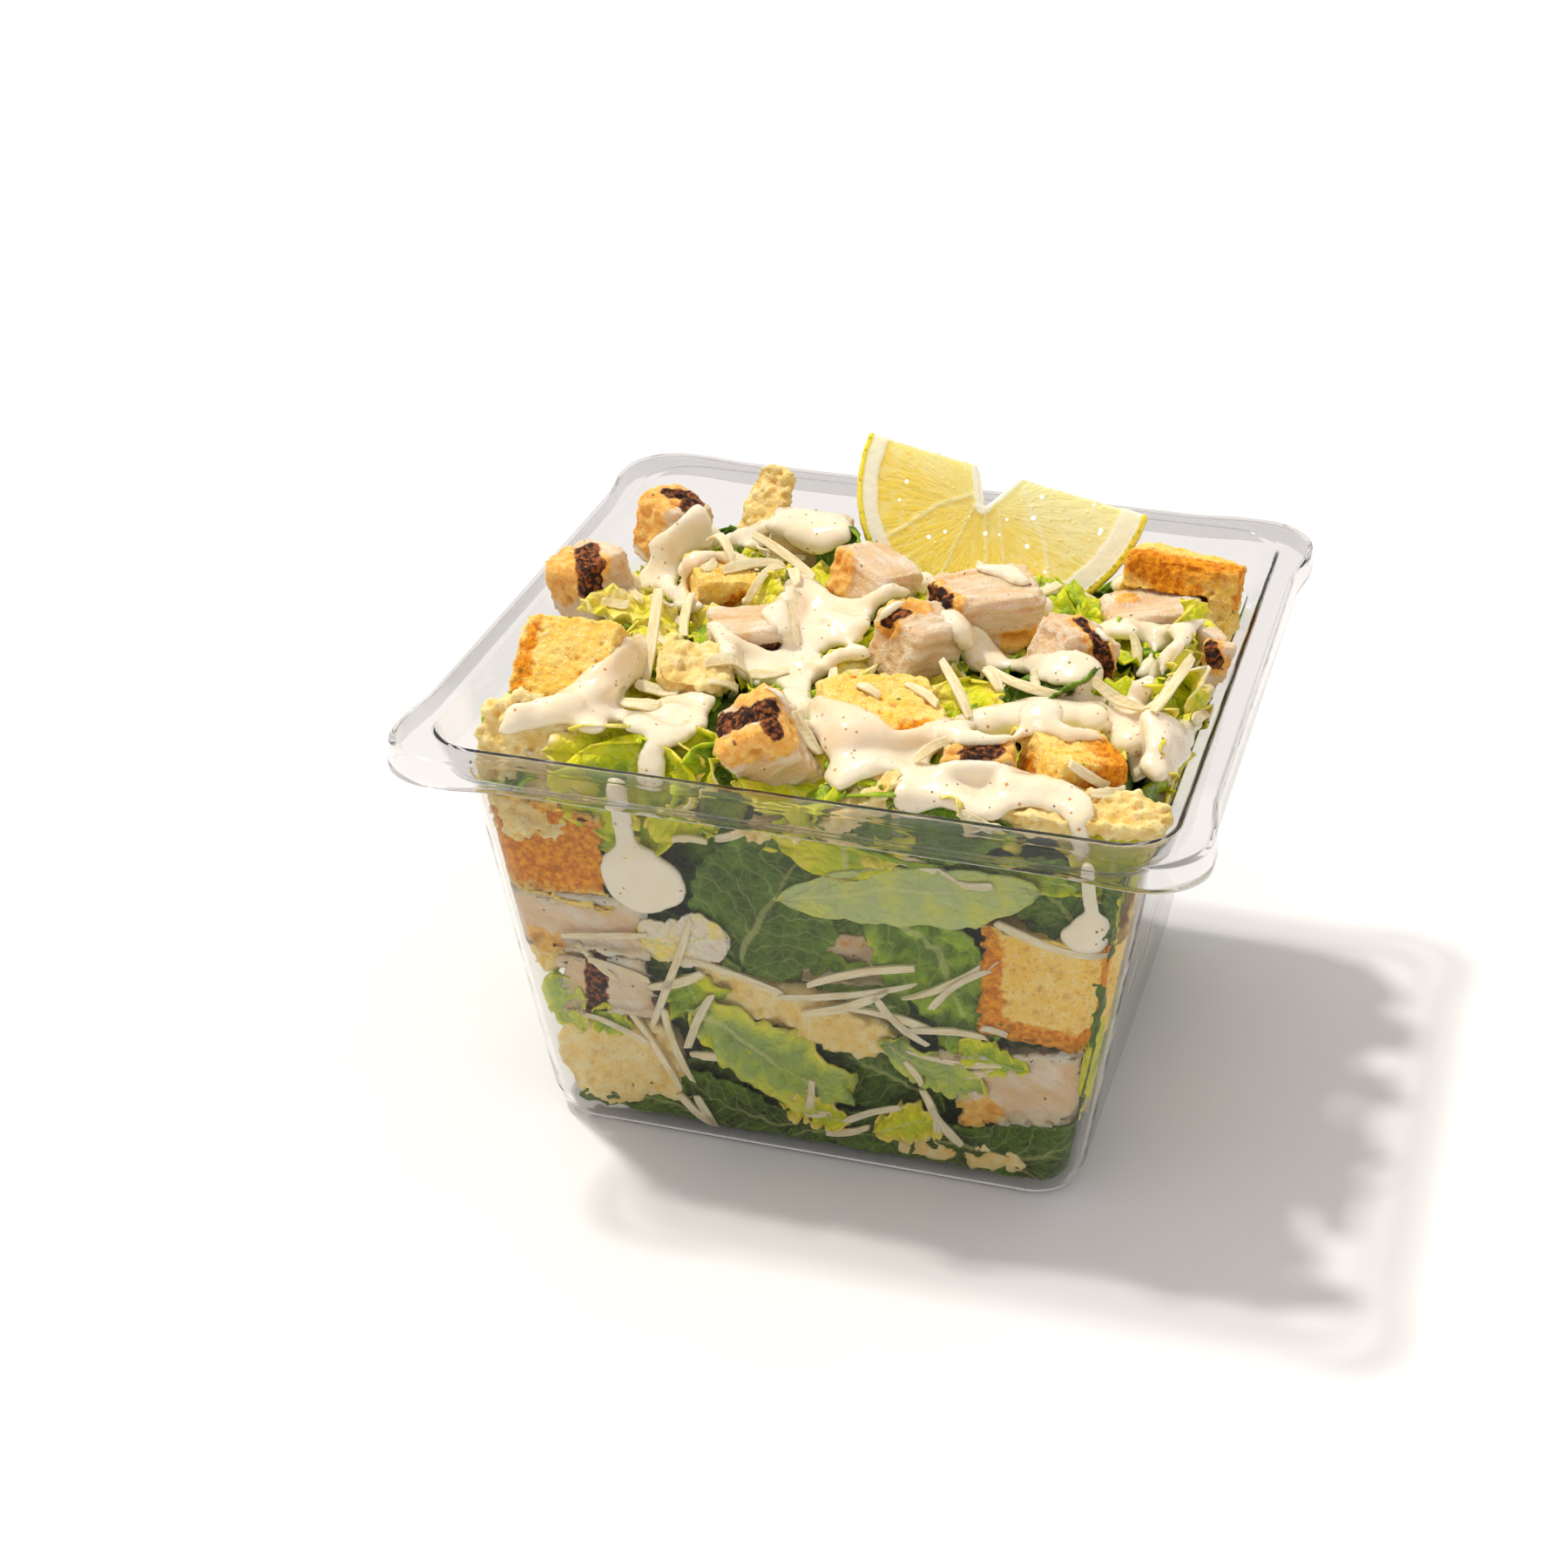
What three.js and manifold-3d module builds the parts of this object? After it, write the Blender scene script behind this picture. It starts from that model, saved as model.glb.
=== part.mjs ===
// Chicken caesar salad in its clear square tub: millimetres, +Z up.
// The origin is the middle of the tub's foot; +X runs along the front rim and +Y to the back.
import * as THREE from 'three';
import { mergeVertices } from 'three/addons/utils/BufferGeometryUtils.js';
import Module from 'manifold-3d';

// ---- driving dimensions -------------------------------------------------------------------
const RIM_HALF = 70;        // half the rim's outer side
const RIM_CORNER = 11;      // its corner radius
const RIM_EAR = 1.3;        // how far the corners stand out from the sides
const RIM_TOP = 84.5;       // height of the tub
const SKIRT = 5.2;          // the turned-down edge of the rim
const FOOT_HALF = 50.15;    // half the side of the wall, carried down to the floor
const WALL_HALF = 60.7;     // half the side of the wall under the ledge
const LEDGE_Z = 75.5;       // where the wall steps out to the stacking ledge
const SHEET = 0.75;         // thickness of the plastic
const GAP = 0.3;            // clearance between neighbouring solids
const FLOOR_Z = 2.4;        // the underside of the food
const CORE_INSET = 6;       // the bare heap stands this far inside the wall
const HEAP_TOP = 81;        // height of the heap in the middle
const HEAP_DROP = 14;       // how far it falls to the back wall
const SEED = 11;

const wasm = await Module();
wasm.setup();
const { Manifold, Mesh: RawMesh } = wasm;
const radians = THREE.MathUtils.degToRad;
const smoothstep = THREE.MathUtils.smoothstep;

// ---- finishes -----------------------------------------------------------------------------
const finish = (color, roughness, more = {}) =>
  new THREE.MeshStandardMaterial({ color, roughness, metalness: 0, ...more });
const PLASTIC = finish(0xe8ecec, 0.08, { transparent: true, opacity: 0.35 });
const LETTUCE = finish(0x74ad35, 0.45);
const CHICKEN = finish(0xe9cba6, 0.5);
const BREAD = finish(0xe2ab52, 0.85);
const CHEESE = finish(0xf1dc94, 0.55);
const LEMON = finish(0xecd94c, 0.3);

// ---- helpers ------------------------------------------------------------------------------
// A closed geometry as a solid that can be joined and cut.
function solid(geometry, tolerance = 1e-4) {
  const bare = geometry.index ? geometry.toNonIndexed() : geometry.clone();
  bare.deleteAttribute('normal');
  bare.deleteAttribute('uv');
  const merged = mergeVertices(bare, tolerance);
  return new Manifold(new RawMesh({
    numProp: 3,
    vertProperties: new Float32Array(merged.attributes.position.array),
    triVerts: new Uint32Array(merged.index.array),
  }));
}

function geometryOf(body) {
  const raw = body.getMesh();
  const geometry = new THREE.BufferGeometry();
  geometry.setAttribute('position', new THREE.BufferAttribute(new Float32Array(raw.vertProperties), 3));
  geometry.setIndex(new THREE.BufferAttribute(new Uint32Array(raw.triVerts), 1));
  return geometry;
}

// The largest body of what the cuts leave, once its closest corners have run together.
function largest(body) {
  const near = 2e-3;
  const biggest = (one) => one.decompose().sort((a, b) => b.volume() - a.volume())[0];
  return biggest(solid(geometryOf(biggest(body)), near));
}

// A solid as a named mesh that stands at the middle of its own box.
function meshOf(name, body, material) {
  const geometry = geometryOf(body);
  geometry.computeBoundingBox();
  const middle = geometry.boundingBox.getCenter(new THREE.Vector3());
  geometry.translate(-middle.x, -middle.y, -middle.z);
  geometry.computeVertexNormals();
  const mesh = new THREE.Mesh(geometry, material);
  mesh.name = name;
  mesh.position.copy(middle);
  return mesh;
}

// Seeded random numbers from 0 to 1.
function dice(seed) {
  let state = seed >>> 0;
  return () => {
    state = (state + 0x6d2b79f5) >>> 0;
    let t = Math.imul(state ^ (state >>> 15), 1 | state);
    t = (t + Math.imul(t ^ (t >>> 7), 61 | t)) ^ t;
    return ((t ^ (t >>> 14)) >>> 0) / 4294967296;
  };
}

// A smooth bump value from -1 to 1 that depends on place and seed only.
const bump = (x, y, z, seed) =>
  (Math.sin(x * 1.7 + seed * 1.3) + Math.sin(y * 2.1 + seed * 2.7) + Math.sin(z * 1.9 + seed * 0.9)
   + Math.sin((x + y - z) * 1.1 + seed)) / 4;

// Where a piece stands: its middle, and its turns about X, Y and Z in degrees.
function placement([x, y, z], [turnX, turnY, turnZ]) {
  const turn = new THREE.Euler(radians(turnX), radians(turnY), radians(turnZ), 'ZYX');
  return new THREE.Matrix4().makeRotationFromEuler(turn).setPosition(x, y, z);
}

// ---- tub ----------------------------------------------------------------------------------
const wallHalf = (z) => FOOT_HALF + (WALL_HALF - FOOT_HALF) * z / LEDGE_Z;
const innerHalf = (z) => wallHalf(z) - SHEET;

// Points of a square with round corners that stand out by ear, anticlockwise.
function squareRing(half, corner, z, ear = 0) {
  const cornerSteps = 4;
  const earStart = 9;
  const earFull = 3;
  const points = [];
  for (let side = 0; side < 4; side++) {
    const along = half + ear - corner;
    const local = [[half, along - earStart], [half + ear, along - earFull]];
    for (let i = 0; i <= cornerSteps; i++) {
      const angle = (Math.PI / 2) * (i / cornerSteps);
      local.push([along + corner * Math.cos(angle), along + corner * Math.sin(angle)]);
    }
    local.push([along - earFull, half + ear], [along - earStart, half]);
    for (const [x, y] of local) {
      const p = new THREE.Vector2(x, y).rotateAround(new THREE.Vector2(), side * Math.PI / 2);
      points.push(new THREE.Vector3(p.x, p.y, z));
    }
  }
  return points;
}

// A closed skin through rings of equal length, with a flat fan at each end.
function loftRings(rings) {
  const count = rings[0].length;
  const points = rings.flat();
  const middle = (ring) => ring.reduce((sum, p) => sum.add(p), new THREE.Vector3()).divideScalar(count);
  const index = [];
  for (let r = 0; r + 1 < rings.length; r++) {
    for (let i = 0; i < count; i++) {
      const a = r * count + i;
      const b = r * count + (i + 1) % count;
      index.push(a, b, b + count, a, b + count, a + count);
    }
  }
  const first = points.push(middle(rings[0])) - 1;
  const last = points.push(middle(rings.at(-1))) - 1;
  const top = (rings.length - 1) * count;
  for (let i = 0; i < count; i++) {
    index.push(first, (i + 1) % count, i);
    index.push(last, top + i, top + (i + 1) % count);
  }
  const geometry = new THREE.BufferGeometry().setFromPoints(points);
  geometry.setIndex(index);
  return geometry;
}

function buildTub() {
  const shoulder = RIM_TOP - SHEET;
  const skirtZ = RIM_TOP - SKIRT;
  // Up the outside from the raised middle of the base to the lip, then down the inside.
  const profile = [
    [FOOT_HALF - 6.5, 7, 1.2], [FOOT_HALF - 5, 8, 0], [FOOT_HALF - 1.6, 8.5, 0],
    [FOOT_HALF - 0.6, 8.5, 1], [FOOT_HALF - 0.2, 8.5, 4.4], [wallHalf(5.2), 9, 5.2],
    [wallHalf(LEDGE_Z), 9.5, LEDGE_Z], [WALL_HALF + 3, 10, LEDGE_Z + 1.8], [RIM_HALF - 4.7, 10, shoulder],
    [RIM_HALF - 1, RIM_CORNER, shoulder, RIM_EAR], [RIM_HALF - 0.9, RIM_CORNER, skirtZ + 0.6, RIM_EAR],
    [RIM_HALF + 0.3, RIM_CORNER, skirtZ, RIM_EAR], [RIM_HALF, RIM_CORNER, RIM_TOP - 0.5, RIM_EAR],
    [RIM_HALF - 0.5, RIM_CORNER, RIM_TOP, RIM_EAR], [RIM_HALF - 5, 9.5, RIM_TOP],
    [RIM_HALF - 5.6, 9.5, RIM_TOP - 0.6], [WALL_HALF + 2.4, 9.3, LEDGE_Z + 2.3],
    [innerHalf(LEDGE_Z) - 0.1, 8.8, LEDGE_Z + 0.3], [innerHalf(5.2), 8.3, 5.7],
    [FOOT_HALF - 1.1, 7.8, 4.8], [FOOT_HALF - 1.9, 7.6, 2.1], [FOOT_HALF - 6.2, 6.5, 2],
  ];
  return solid(loftRings(profile.map(([half, corner, z, ear]) => squareRing(half, corner, z, ear))));
}

// The room for food inside the tub, a little clear of the plastic and open at the top.
function buildCavity() {
  const clear = 0.4;
  const profile = [
    [FOOT_HALF - 1.9, 7, FLOOR_Z], [FOOT_HALF - 1.1, 7.6, 5.2], [innerHalf(6.2), 8, 6.2],
    [innerHalf(LEDGE_Z) - 0.1, 8.5, LEDGE_Z + 0.8], [WALL_HALF + 2.2, 9, LEDGE_Z + 2.9],
    [RIM_HALF - 5.8, 9.2, RIM_TOP], [RIM_HALF - 5.6, 9.2, 2 * RIM_TOP],
  ];
  return solid(loftRings(profile.map(([half, corner, z]) => squareRing(half - clear, corner, z))));
}

// ---- food shapes --------------------------------------------------------------------------
// An uneven block with blunt edges: three spans a side, the outer ones short.
function chunk([a, b, c], seed, { blunt = 0.13, lump = 0.05, taper = 0, spans = 3 } = {}) {
  const geometry = new THREE.BoxGeometry(2, 2, 2, spans, spans, spans);
  const p = geometry.attributes.position;
  for (let i = 0; i < p.count; i++) {
    const v = [p.getX(i), p.getY(i), p.getZ(i)];
    const outer = v.filter((s) => Math.abs(s) > 0.99).length;
    const pulled = v.map((s) => (Math.abs(s) > 0.99 ? Math.sign(s) * (1 - blunt * (outer - 1) * 0.6) : s * 2.1));
    const [x, y, z] = pulled;
    const skew = 1 - taper * (z + 1) / 2;
    p.setXYZ(i,
      (x * skew + lump * bump(y * 2, z * 2, x, seed)) * a / 2,
      (y * skew + lump * bump(z * 2, x * 2, y, seed + 3)) * b / 2,
      (z + lump * bump(x * 2, y * 2, z, seed + 7)) * c / 2);
  }
  return geometry;
}

// A thin sheet over a grid of (u, v) from -1 to 1, both faces split alike.
function sheet(across, along, thick, place) {
  const points = [];
  const index = [];
  const columns = across + 1;
  const rows = along + 1;
  for (const side of [0.5, -0.5]) {
    for (let j = 0; j < rows; j++) {
      for (let i = 0; i < columns; i++) {
        points.push(place(2 * i / across - 1, 2 * j / along - 1, side * thick));
      }
    }
  }
  const layer = columns * rows;
  for (let j = 0; j < along; j++) {
    for (let i = 0; i < across; i++) {
      const a = j * columns + i;
      const [b, c, d] = [a + 1, a + columns + 1, a + columns];
      index.push(a, b, c, a, c, d);
      index.push(a + layer, c + layer, b + layer, a + layer, d + layer, c + layer);
    }
  }
  const edge = [];
  for (let i = 0; i < across; i++) edge.push(i);
  for (let j = 0; j < along; j++) edge.push(across + j * columns);
  for (let i = across; i > 0; i--) edge.push(along * columns + i);
  for (let j = along; j > 0; j--) edge.push(j * columns);
  edge.forEach((a, n) => {
    const b = edge[(n + 1) % edge.length];
    index.push(a, a + layer, b + layer, a, b + layer, b);
  });
  const geometry = new THREE.BufferGeometry().setFromPoints(points);
  geometry.setIndex(index);
  return geometry;
}

// A leaf: pointed at its two ends, wavy, with thickness enough for a solid.
function leaf(width, height, seed, { thick = 1.6, wave = 1.8 } = {}) {
  return sheet(3, 4, thick, (u, v, t) => {
    const narrow = Math.sqrt(1 - 0.86 * v * v) * (1 + 0.09 * Math.sin(v * 7 + seed));
    const swing = 0.6 * Math.sin(u * 4.2 + seed) + 0.4 * Math.sin(v * 5 + seed * 2 + u * 2);
    const ripple = wave * swing * (0.4 + 0.6 * Math.abs(u));
    return new THREE.Vector3(u * narrow * width / 2, v * height / 2 * (1 - 0.1 * u * u), t + ripple);
  });
}

// A crisp of baked cheese: a thin crooked slab with an uneven outline.
function crisp(width, height, thick, seed) {
  return sheet(5, 3, thick, (u, v, t) => {
    const rag = 1 + 0.13 * bump(u * 5, v * 5, 1, seed);
    const corner = 1 - 0.2 * u * u * v * v;
    const swell = 1 + 0.3 * bump(u * 7, v * 7, 2, seed + 5);
    const bend = 1.4 * bump(u * 1.6, v * 1.6, 0, seed + 9);
    return new THREE.Vector3(u * rag * corner * width / 2, v * rag * corner * height / 2, t * swell + bend);
  });
}

// A shred of hard cheese: a narrow strip with a gentle bow.
function shred(length, width, bow, thick = 1) {
  return sheet(3, 1, thick, (u, v, t) =>
    new THREE.Vector3(u * length / 2, v * width / 2 + bow * (u * u - 0.4), t));
}

// A flat blob of dressing.
function blob(width, height, depth) {
  return new THREE.SphereGeometry(1, 10, 6).scale(width / 2, height / 2, depth / 2);
}

// ---- toppings -----------------------------------------------------------------------------
// kind: what it is made of; at: its middle; size; turn in degrees, about X, then Y, then Z.
const TOPPINGS = [
  { kind: 'chicken', at: [-48.5, 25, 88], size: [11.5, 11.5, 13], turn: [-6, 8, -30] },
  { kind: 'chicken', at: [-56.3, -1, 87.2], size: [13, 12, 11.5], turn: [8, -8, -28] },
  { kind: 'chicken', at: [-22.5, -10, 84.5], size: [15, 11, 8.5], turn: [8, -6, 14] },
  { kind: 'chicken', at: [-23.5, 35, 84], size: [17, 11, 10], turn: [4, 8, 12] },
  { kind: 'chicken', at: [-5.5, 15.5, 87], size: [14, 12, 10], turn: [-10, 14, -32] },
  { kind: 'chicken', at: [17.8, 7.5, 87.2], size: [20.5, 13.5, 12.5], turn: [6, 0, 34] },
  { kind: 'chicken', at: [9.5, -11, 87.5], size: [13.5, 11.5, 12.5], turn: [14, 10, 56] },
  { kind: 'chicken', at: [36.3, -3.5, 85.5], size: [12.5, 12, 12], turn: [0, 24, 35] },
  { kind: 'chicken', at: [46, 26, 80.5], size: [19, 12, 9], turn: [4, -4, 18] },
  { kind: 'chicken', at: [-6.5, -50.5, 85], size: [12.5, 12, 16], turn: [18, -34, 6] },
  { kind: 'chicken', at: [29, -45.5, 84], size: [12.5, 8.5, 9], turn: [6, 4, 14] },
  { kind: 'chicken', at: [59, 12.5, 80.5], size: [5.5, 9, 9.5], turn: [0, 12, 30] },
  { kind: 'crouton', at: [-48, -34.5, 84.2], size: [18.5, 20, 11], turn: [44, -4, -3] },
  { kind: 'crouton', at: [-34, 8, 84.5], size: [12, 12, 10], turn: [6, 8, 34] },
  { kind: 'crouton', at: [9.5, -36.5, 84], size: [20, 18, 11], turn: [8, 4, 30] },
  { kind: 'crouton', at: [50, 33, 82], size: [21.5, 11, 18], turn: [-12, 4, -6] },
  { kind: 'crouton', at: [44, -41.5, 82.5], size: [14, 13, 12], turn: [6, 12, 40] },
  { kind: 'crisp', at: [-49, -54, 76], size: [20, 27, 4], turn: [74, 0, 2] },
  { kind: 'crisp', at: [-36.6, 47, 84.6], size: [9.5, 18, 2.6], turn: [60, 0, -30] },
  { kind: 'crisp', at: [-27, -28, 86], size: [14, 11, 4], turn: [24, 6, 8] },
  { kind: 'crisp', at: [4.5, -56, 77], size: [29, 8, 3.2], turn: [24, -24, 14] },
  { kind: 'crisp', at: [48, -52.5, 81.5], size: [30, 8, 3.6], turn: [20, 0, 6] },
  { kind: 'crisp', at: [37, -39.5, 87], size: [10, 6, 2.6], turn: [24, -20, 30] },
];
const SHAPES = {
  chicken: (size, seed) => chunk(size, seed, { blunt: 0.12, lump: 0.07, taper: 0.05 }),
  crouton: (size, seed) => chunk(size, seed, { blunt: 0.1, lump: 0.04 }),
  crisp: ([a, b, c], seed) => crisp(a, b, c, seed),
};
const COATS = { chicken: CHICKEN, crouton: BREAD, crisp: CHEESE };

const toppingBody = ({ kind, at, size, turn }, seed) =>
  solid(SHAPES[kind](size, seed).applyMatrix4(placement(at, turn)));

// The box that a topping needs, with its lumps and a gap all round.
function toppingRoom({ kind, at, size: [a, b, c], turn }) {
  const lumps = 1.07;
  const bend = kind === 'crisp' ? 2.4 : 0;
  const box = new THREE.BoxGeometry(a * lumps + 2 * GAP, b * lumps + 2 * GAP, c * lumps + bend + 2 * GAP);
  return solid(box.applyMatrix4(placement(at, turn)));
}

// ---- lemon --------------------------------------------------------------------------------
// Half a round slice: the cut face looks forward and up, the straight edge is on top.
const LEMON_AT = [13, 42, 100.5];
const LEMON_TIP = 29.3;     // from the middle to each tip
const LEMON_RADIUS = 31;    // from the middle down to the rind
const LEMON_NOTCH = 8;
const LEMON_THICK = 10;
const LEMON_SPIN = -14.5;
const LEMON_TURN = [61, 0, 11];

function buildLemon(swell = 0) {
  const arcSteps = 20;
  const outline = new THREE.Shape();
  outline.moveTo(LEMON_TIP + swell, swell);
  outline.lineTo(3.5 - swell, swell);
  outline.lineTo(-1.8, swell - LEMON_NOTCH);
  outline.lineTo(-5.5 + swell, swell);
  for (let i = 0; i < arcSteps; i++) {
    const angle = Math.PI * (1 + i / arcSteps);
    const reach = LEMON_TIP + swell + (LEMON_RADIUS - LEMON_TIP) * Math.abs(Math.sin(angle));
    outline.lineTo(reach * Math.cos(angle), reach * Math.sin(angle) + (i ? 0 : swell));
  }
  const steps = 3;
  const depth = LEMON_THICK + 2 * swell;
  const geometry = new THREE.ExtrudeGeometry(outline, { depth, steps, bevelEnabled: false });
  const p = geometry.attributes.position;
  const girth = [0.9, 0.97, 1, 0.985];
  for (let i = 0; i < p.count; i++) {
    const level = Math.round(steps * p.getZ(i) / depth);
    p.setXYZ(i, p.getX(i) * girth[level], p.getY(i) * girth[level], p.getZ(i) - LEMON_THICK - swell);
  }
  geometry.rotateZ(radians(LEMON_SPIN));
  return solid(geometry.applyMatrix4(placement(LEMON_AT, LEMON_TURN)));
}

// ---- the heap -----------------------------------------------------------------------------
// Height of the bare heap: full in front, falling to the back wall, uneven all over.
function heapHeight(x, y) {
  const back = smoothstep(y, 20, 58);
  const left = smoothstep(-x, 46, 60) * smoothstep(y, -30, 20);
  return HEAP_TOP - HEAP_DROP * back - 6 * left * (1 - back) - 2 * smoothstep(Math.abs(x), 30, 62)
    + 1.4 * bump(x / 6, y / 6, 0, SEED);
}

// The bare heap: the inside of the tub, smaller by the inset, filled up to the heap's height.
function buildCore() {
  const geometry = new THREE.BoxGeometry(2, 2, 2, 8, 8, 3);
  const p = geometry.attributes.position;
  for (let i = 0; i < p.count; i++) {
    const [u, v, w] = [p.getX(i), p.getY(i), p.getZ(i)];
    const corner = 1 - 0.07 * u * u * v * v;
    const reach = (z) => (innerHalf(z) - CORE_INSET) * corner;
    const top = heapHeight(u * reach(HEAP_TOP), v * reach(HEAP_TOP));
    const z = FLOOR_Z + (top - FLOOR_Z) * (w + 1) / 2;
    p.setXYZ(i, u * reach(z), v * reach(z), z);
  }
  return solid(geometry);
}

// A frame on a wall: side 0 is the front, then right, back and left; s runs along it, seen from
// outside from left to right, and the piece's own Z points out through the plastic.
const SLANT = THREE.MathUtils.radToDeg(Math.atan2(WALL_HALF - FOOT_HALF, LEDGE_Z));
function onWall(geometry, side, s, z, depth, spin = 0) {
  const clear = 0.5;
  geometry.rotateZ(radians(spin));
  geometry.rotateX(radians(90 + SLANT));
  geometry.translate(s, -(innerHalf(z) - clear - depth), z);
  return geometry.rotateZ(side * Math.PI / 2);
}

// What shows through the front wall: make, middle along the wall and up it, size, spin.
const FRONT = [
  ['bread', -45, 61.5, 20, 15, 12, 0],
  ['meat', -40, 46.5, 25, 11, 12, 0],
  ['meat', -38, 32, 13, 12, 12, 8],
  ['crisp', -33.5, 15, 25, 20, 4, -8],
  ['blob', -28, 59.5, 15, 15, 3, 0],
  ['leaf', -8, 55, 24, 27, 1.6, -25],
  ['leaf', 22, 64, 11, 43, 1.6, -96],
  ['leaf', -20, 45, 14, 18, 1.6, 20],
  ['bread', 46, 48.5, 24, 23, 12, -6],
  ['crisp', 0.5, 33, 37, 12, 3.5, -10],
  ['leaf', -5, 24, 15, 30, 1.6, 70],
  ['meat', 40, 23, 23, 14, 12, -4],
  ['leaf', 45, 14, 14, 24, 1.6, -60],
  ['leaf', 12, 12, 15, 26, 1.6, 85],
  ['leaf', 21, 44, 16, 28, 1.6, 24],
  ['crisp', 31, 5.5, 22, 6, 3, -3],
  ['blob', 51, 64, 9, 15, 4, 12],
  ['leaf', -52, 14, 10, 16, 1.6, 10],
];
const WALL_MAKERS = {
  bread: (w, h, d, seed) => chunk([w, h, d], seed, { blunt: 0.1, lump: 0.05, spans: 2 }),
  meat: (w, h, d, seed) => chunk([w, h, d], seed, { blunt: 0.16, lump: 0.08, spans: 2 }),
  crisp: (w, h, d, seed) => crisp(w, h, d, seed),
  leaf: (w, h, d, seed) => leaf(w, h, seed, { thick: d, wave: 1.2 }),
  blob: (w, h, d) => blob(w, h, 2 * d),
};
const WALL_DEPTH = { bread: 6.5, meat: 6.5, crisp: 2.9, leaf: 2.2, blob: 3.4 };

function frontPieces() {
  return FRONT.map(([make, s, z, w, h, d, spin], n) =>
    solid(onWall(WALL_MAKERS[make](w, h, d, n), 0, s, z, WALL_DEPTH[make], spin)));
}

// The other three walls: rows of leaves with chicken, bread and crisps between them.
const WALL_ORDER = ['leaf', 'meat', 'leaf', 'bread', 'leaf', 'crisp', 'leaf'];
const WALL_SIZES = { leaf: [20, 32, 1.6], crisp: [24, 16, 3.2], bread: [19, 16, 12], meat: [19, 16, 12] };
const WALL_ROWS = { 1: [12, 35, 58], 2: [12, 34, 54], 3: [12, 35, 58] };
const WALL_STEP = 30;
function otherWallPieces() {
  const roll = dice(SEED);
  const spread = (span) => (roll() - 0.5) * span;
  const bodies = [];
  for (const [side, rows] of Object.entries(WALL_ROWS)) {
    rows.forEach((level, row) => {
      for (let n = 0; n < 3; n++) {
        const make = WALL_ORDER[(n + row * 3 + Number(side)) % WALL_ORDER.length];
        const [width, height, depth] = WALL_SIZES[make];
        const grown = 0.9 + 0.25 * roll();
        const s = (n - 1) * WALL_STEP + spread(8);
        const z = level + spread(6);
        const spin = spread(make === 'leaf' ? 150 : 30);
        const shape = WALL_MAKERS[make](width * grown, height * grown, depth, n + 5 * row + 9 * side);
        bodies.push(solid(onWall(shape, Number(side), s, z, WALL_DEPTH[make], spin)));
      }
    });
  }
  return bodies;
}

// Shreds of cheese against the walls, most of them on the front.
const SHREDS_ON_SIDE = [12, 3, 3, 3];
function wallShreds() {
  const roll = dice(SEED + 1);
  const spread = (span) => (roll() - 0.5) * span;
  const bodies = [];
  SHREDS_ON_SIDE.forEach((count, side) => {
    for (let n = 0; n < count; n++) {
      const strip = shred(14 + 10 * roll(), 2.2, spread(2.5), 1.2);
      const s = spread(70);
      const z = 12 + 42 * roll();
      bodies.push(solid(onWall(strip, side, s, z, 1.4, spread(130))));
    }
  });
  return bodies;
}

// Leaves whose edges come up through the top of the heap: middle, size, turn.
const TOP_LEAVES = [
  [[-27, -57.5, 80], [26, 13], [72, 4, 4]],
  [[-14, -58, 78], [14, 13], [76, 0, -8]],
  [[22, -57.5, 77], [34, 12], [74, 0, 0]],
  [[58, 2, 82], [20, 16], [30, 44, 84]],
  [[57, -20, 80], [16, 16], [20, 50, 80]],
  [[30, -22, 83], [22, 10], [24, 0, 20]],
  [[-42, -14, 84], [20, 10], [30, 0, 4]],
  [[-14, 24, 82], [14, 14], [40, 20, 30]],
  [[0, 40, 74], [24, 16], [-20, 8, 10]],
  [[-54, 36, 76], [18, 16], [-10, -30, 60]],
  [[44, 48, 68], [24, 18], [-24, 10, -20]],
  [[-20, 54, 68], [26, 16], [-34, 0, 6]],
  [[20, -12, 82], [18, 12], [16, -20, 60]],
];
function topLeaves() {
  return TOP_LEAVES.map(([at, [w, h], turn], n) =>
    solid(leaf(w, h, n * 1.7, { thick: 1.6, wave: 2 }).applyMatrix4(placement(at, turn))));
}

// Thick dressing that lies in ropes over the heap: points across the top, and the rope's width.
const ROPES = [
  [8, [[-58, -44], [-44, -46], [-34, -40], [-26, -22]]],
  [9, [[-24, -44], [-18, -34], [-8, -28], [4, -26]]],
  [9, [[-46, 8], [-36, -4], [-24, 4], [-10, 2], [4, 0]]],
  [8, [[14, -52], [24, -50], [36, -50], [50, -56]]],
  [9, [[22, -34], [36, -24], [48, -26], [56, -40]]],
  [8, [[28, 8], [42, 10], [50, 4], [44, -10], [56, -18]]],
  [8, [[-36, 30], [-20, 22], [-8, 26]]],
];
function ropeBody([width, points]) {
  const rise = 3.2;
  const root = 2.5;
  const path = new THREE.CatmullRomCurve3(points.map(([x, y]) => new THREE.Vector3(x, y, 0)));
  return solid(sheet(2, 6, 1, (u, v, t) => {
    const along = (v + 1) / 2;
    const middle = path.getPoint(along);
    const ahead = path.getTangent(along);
    const taper = 0.55 + 0.45 * Math.sqrt(1 - v * v);
    const reach = u * taper * width / 2;
    const [x, y] = [middle.x + ahead.y * reach, middle.y - ahead.x * reach];
    const ground = heapHeight(x, y);
    const crown = rise * taper * Math.sqrt(1 - 0.9 * u * u);
    return new THREE.Vector3(x, y, t > 0 ? ground + crown : ground - root);
  }));
}

// ---- putting it together ------------------------------------------------------------------
const group = new THREE.Group();
const tub = buildTub();
group.add(meshOf('tub', tub, PLASTIC));

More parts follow.
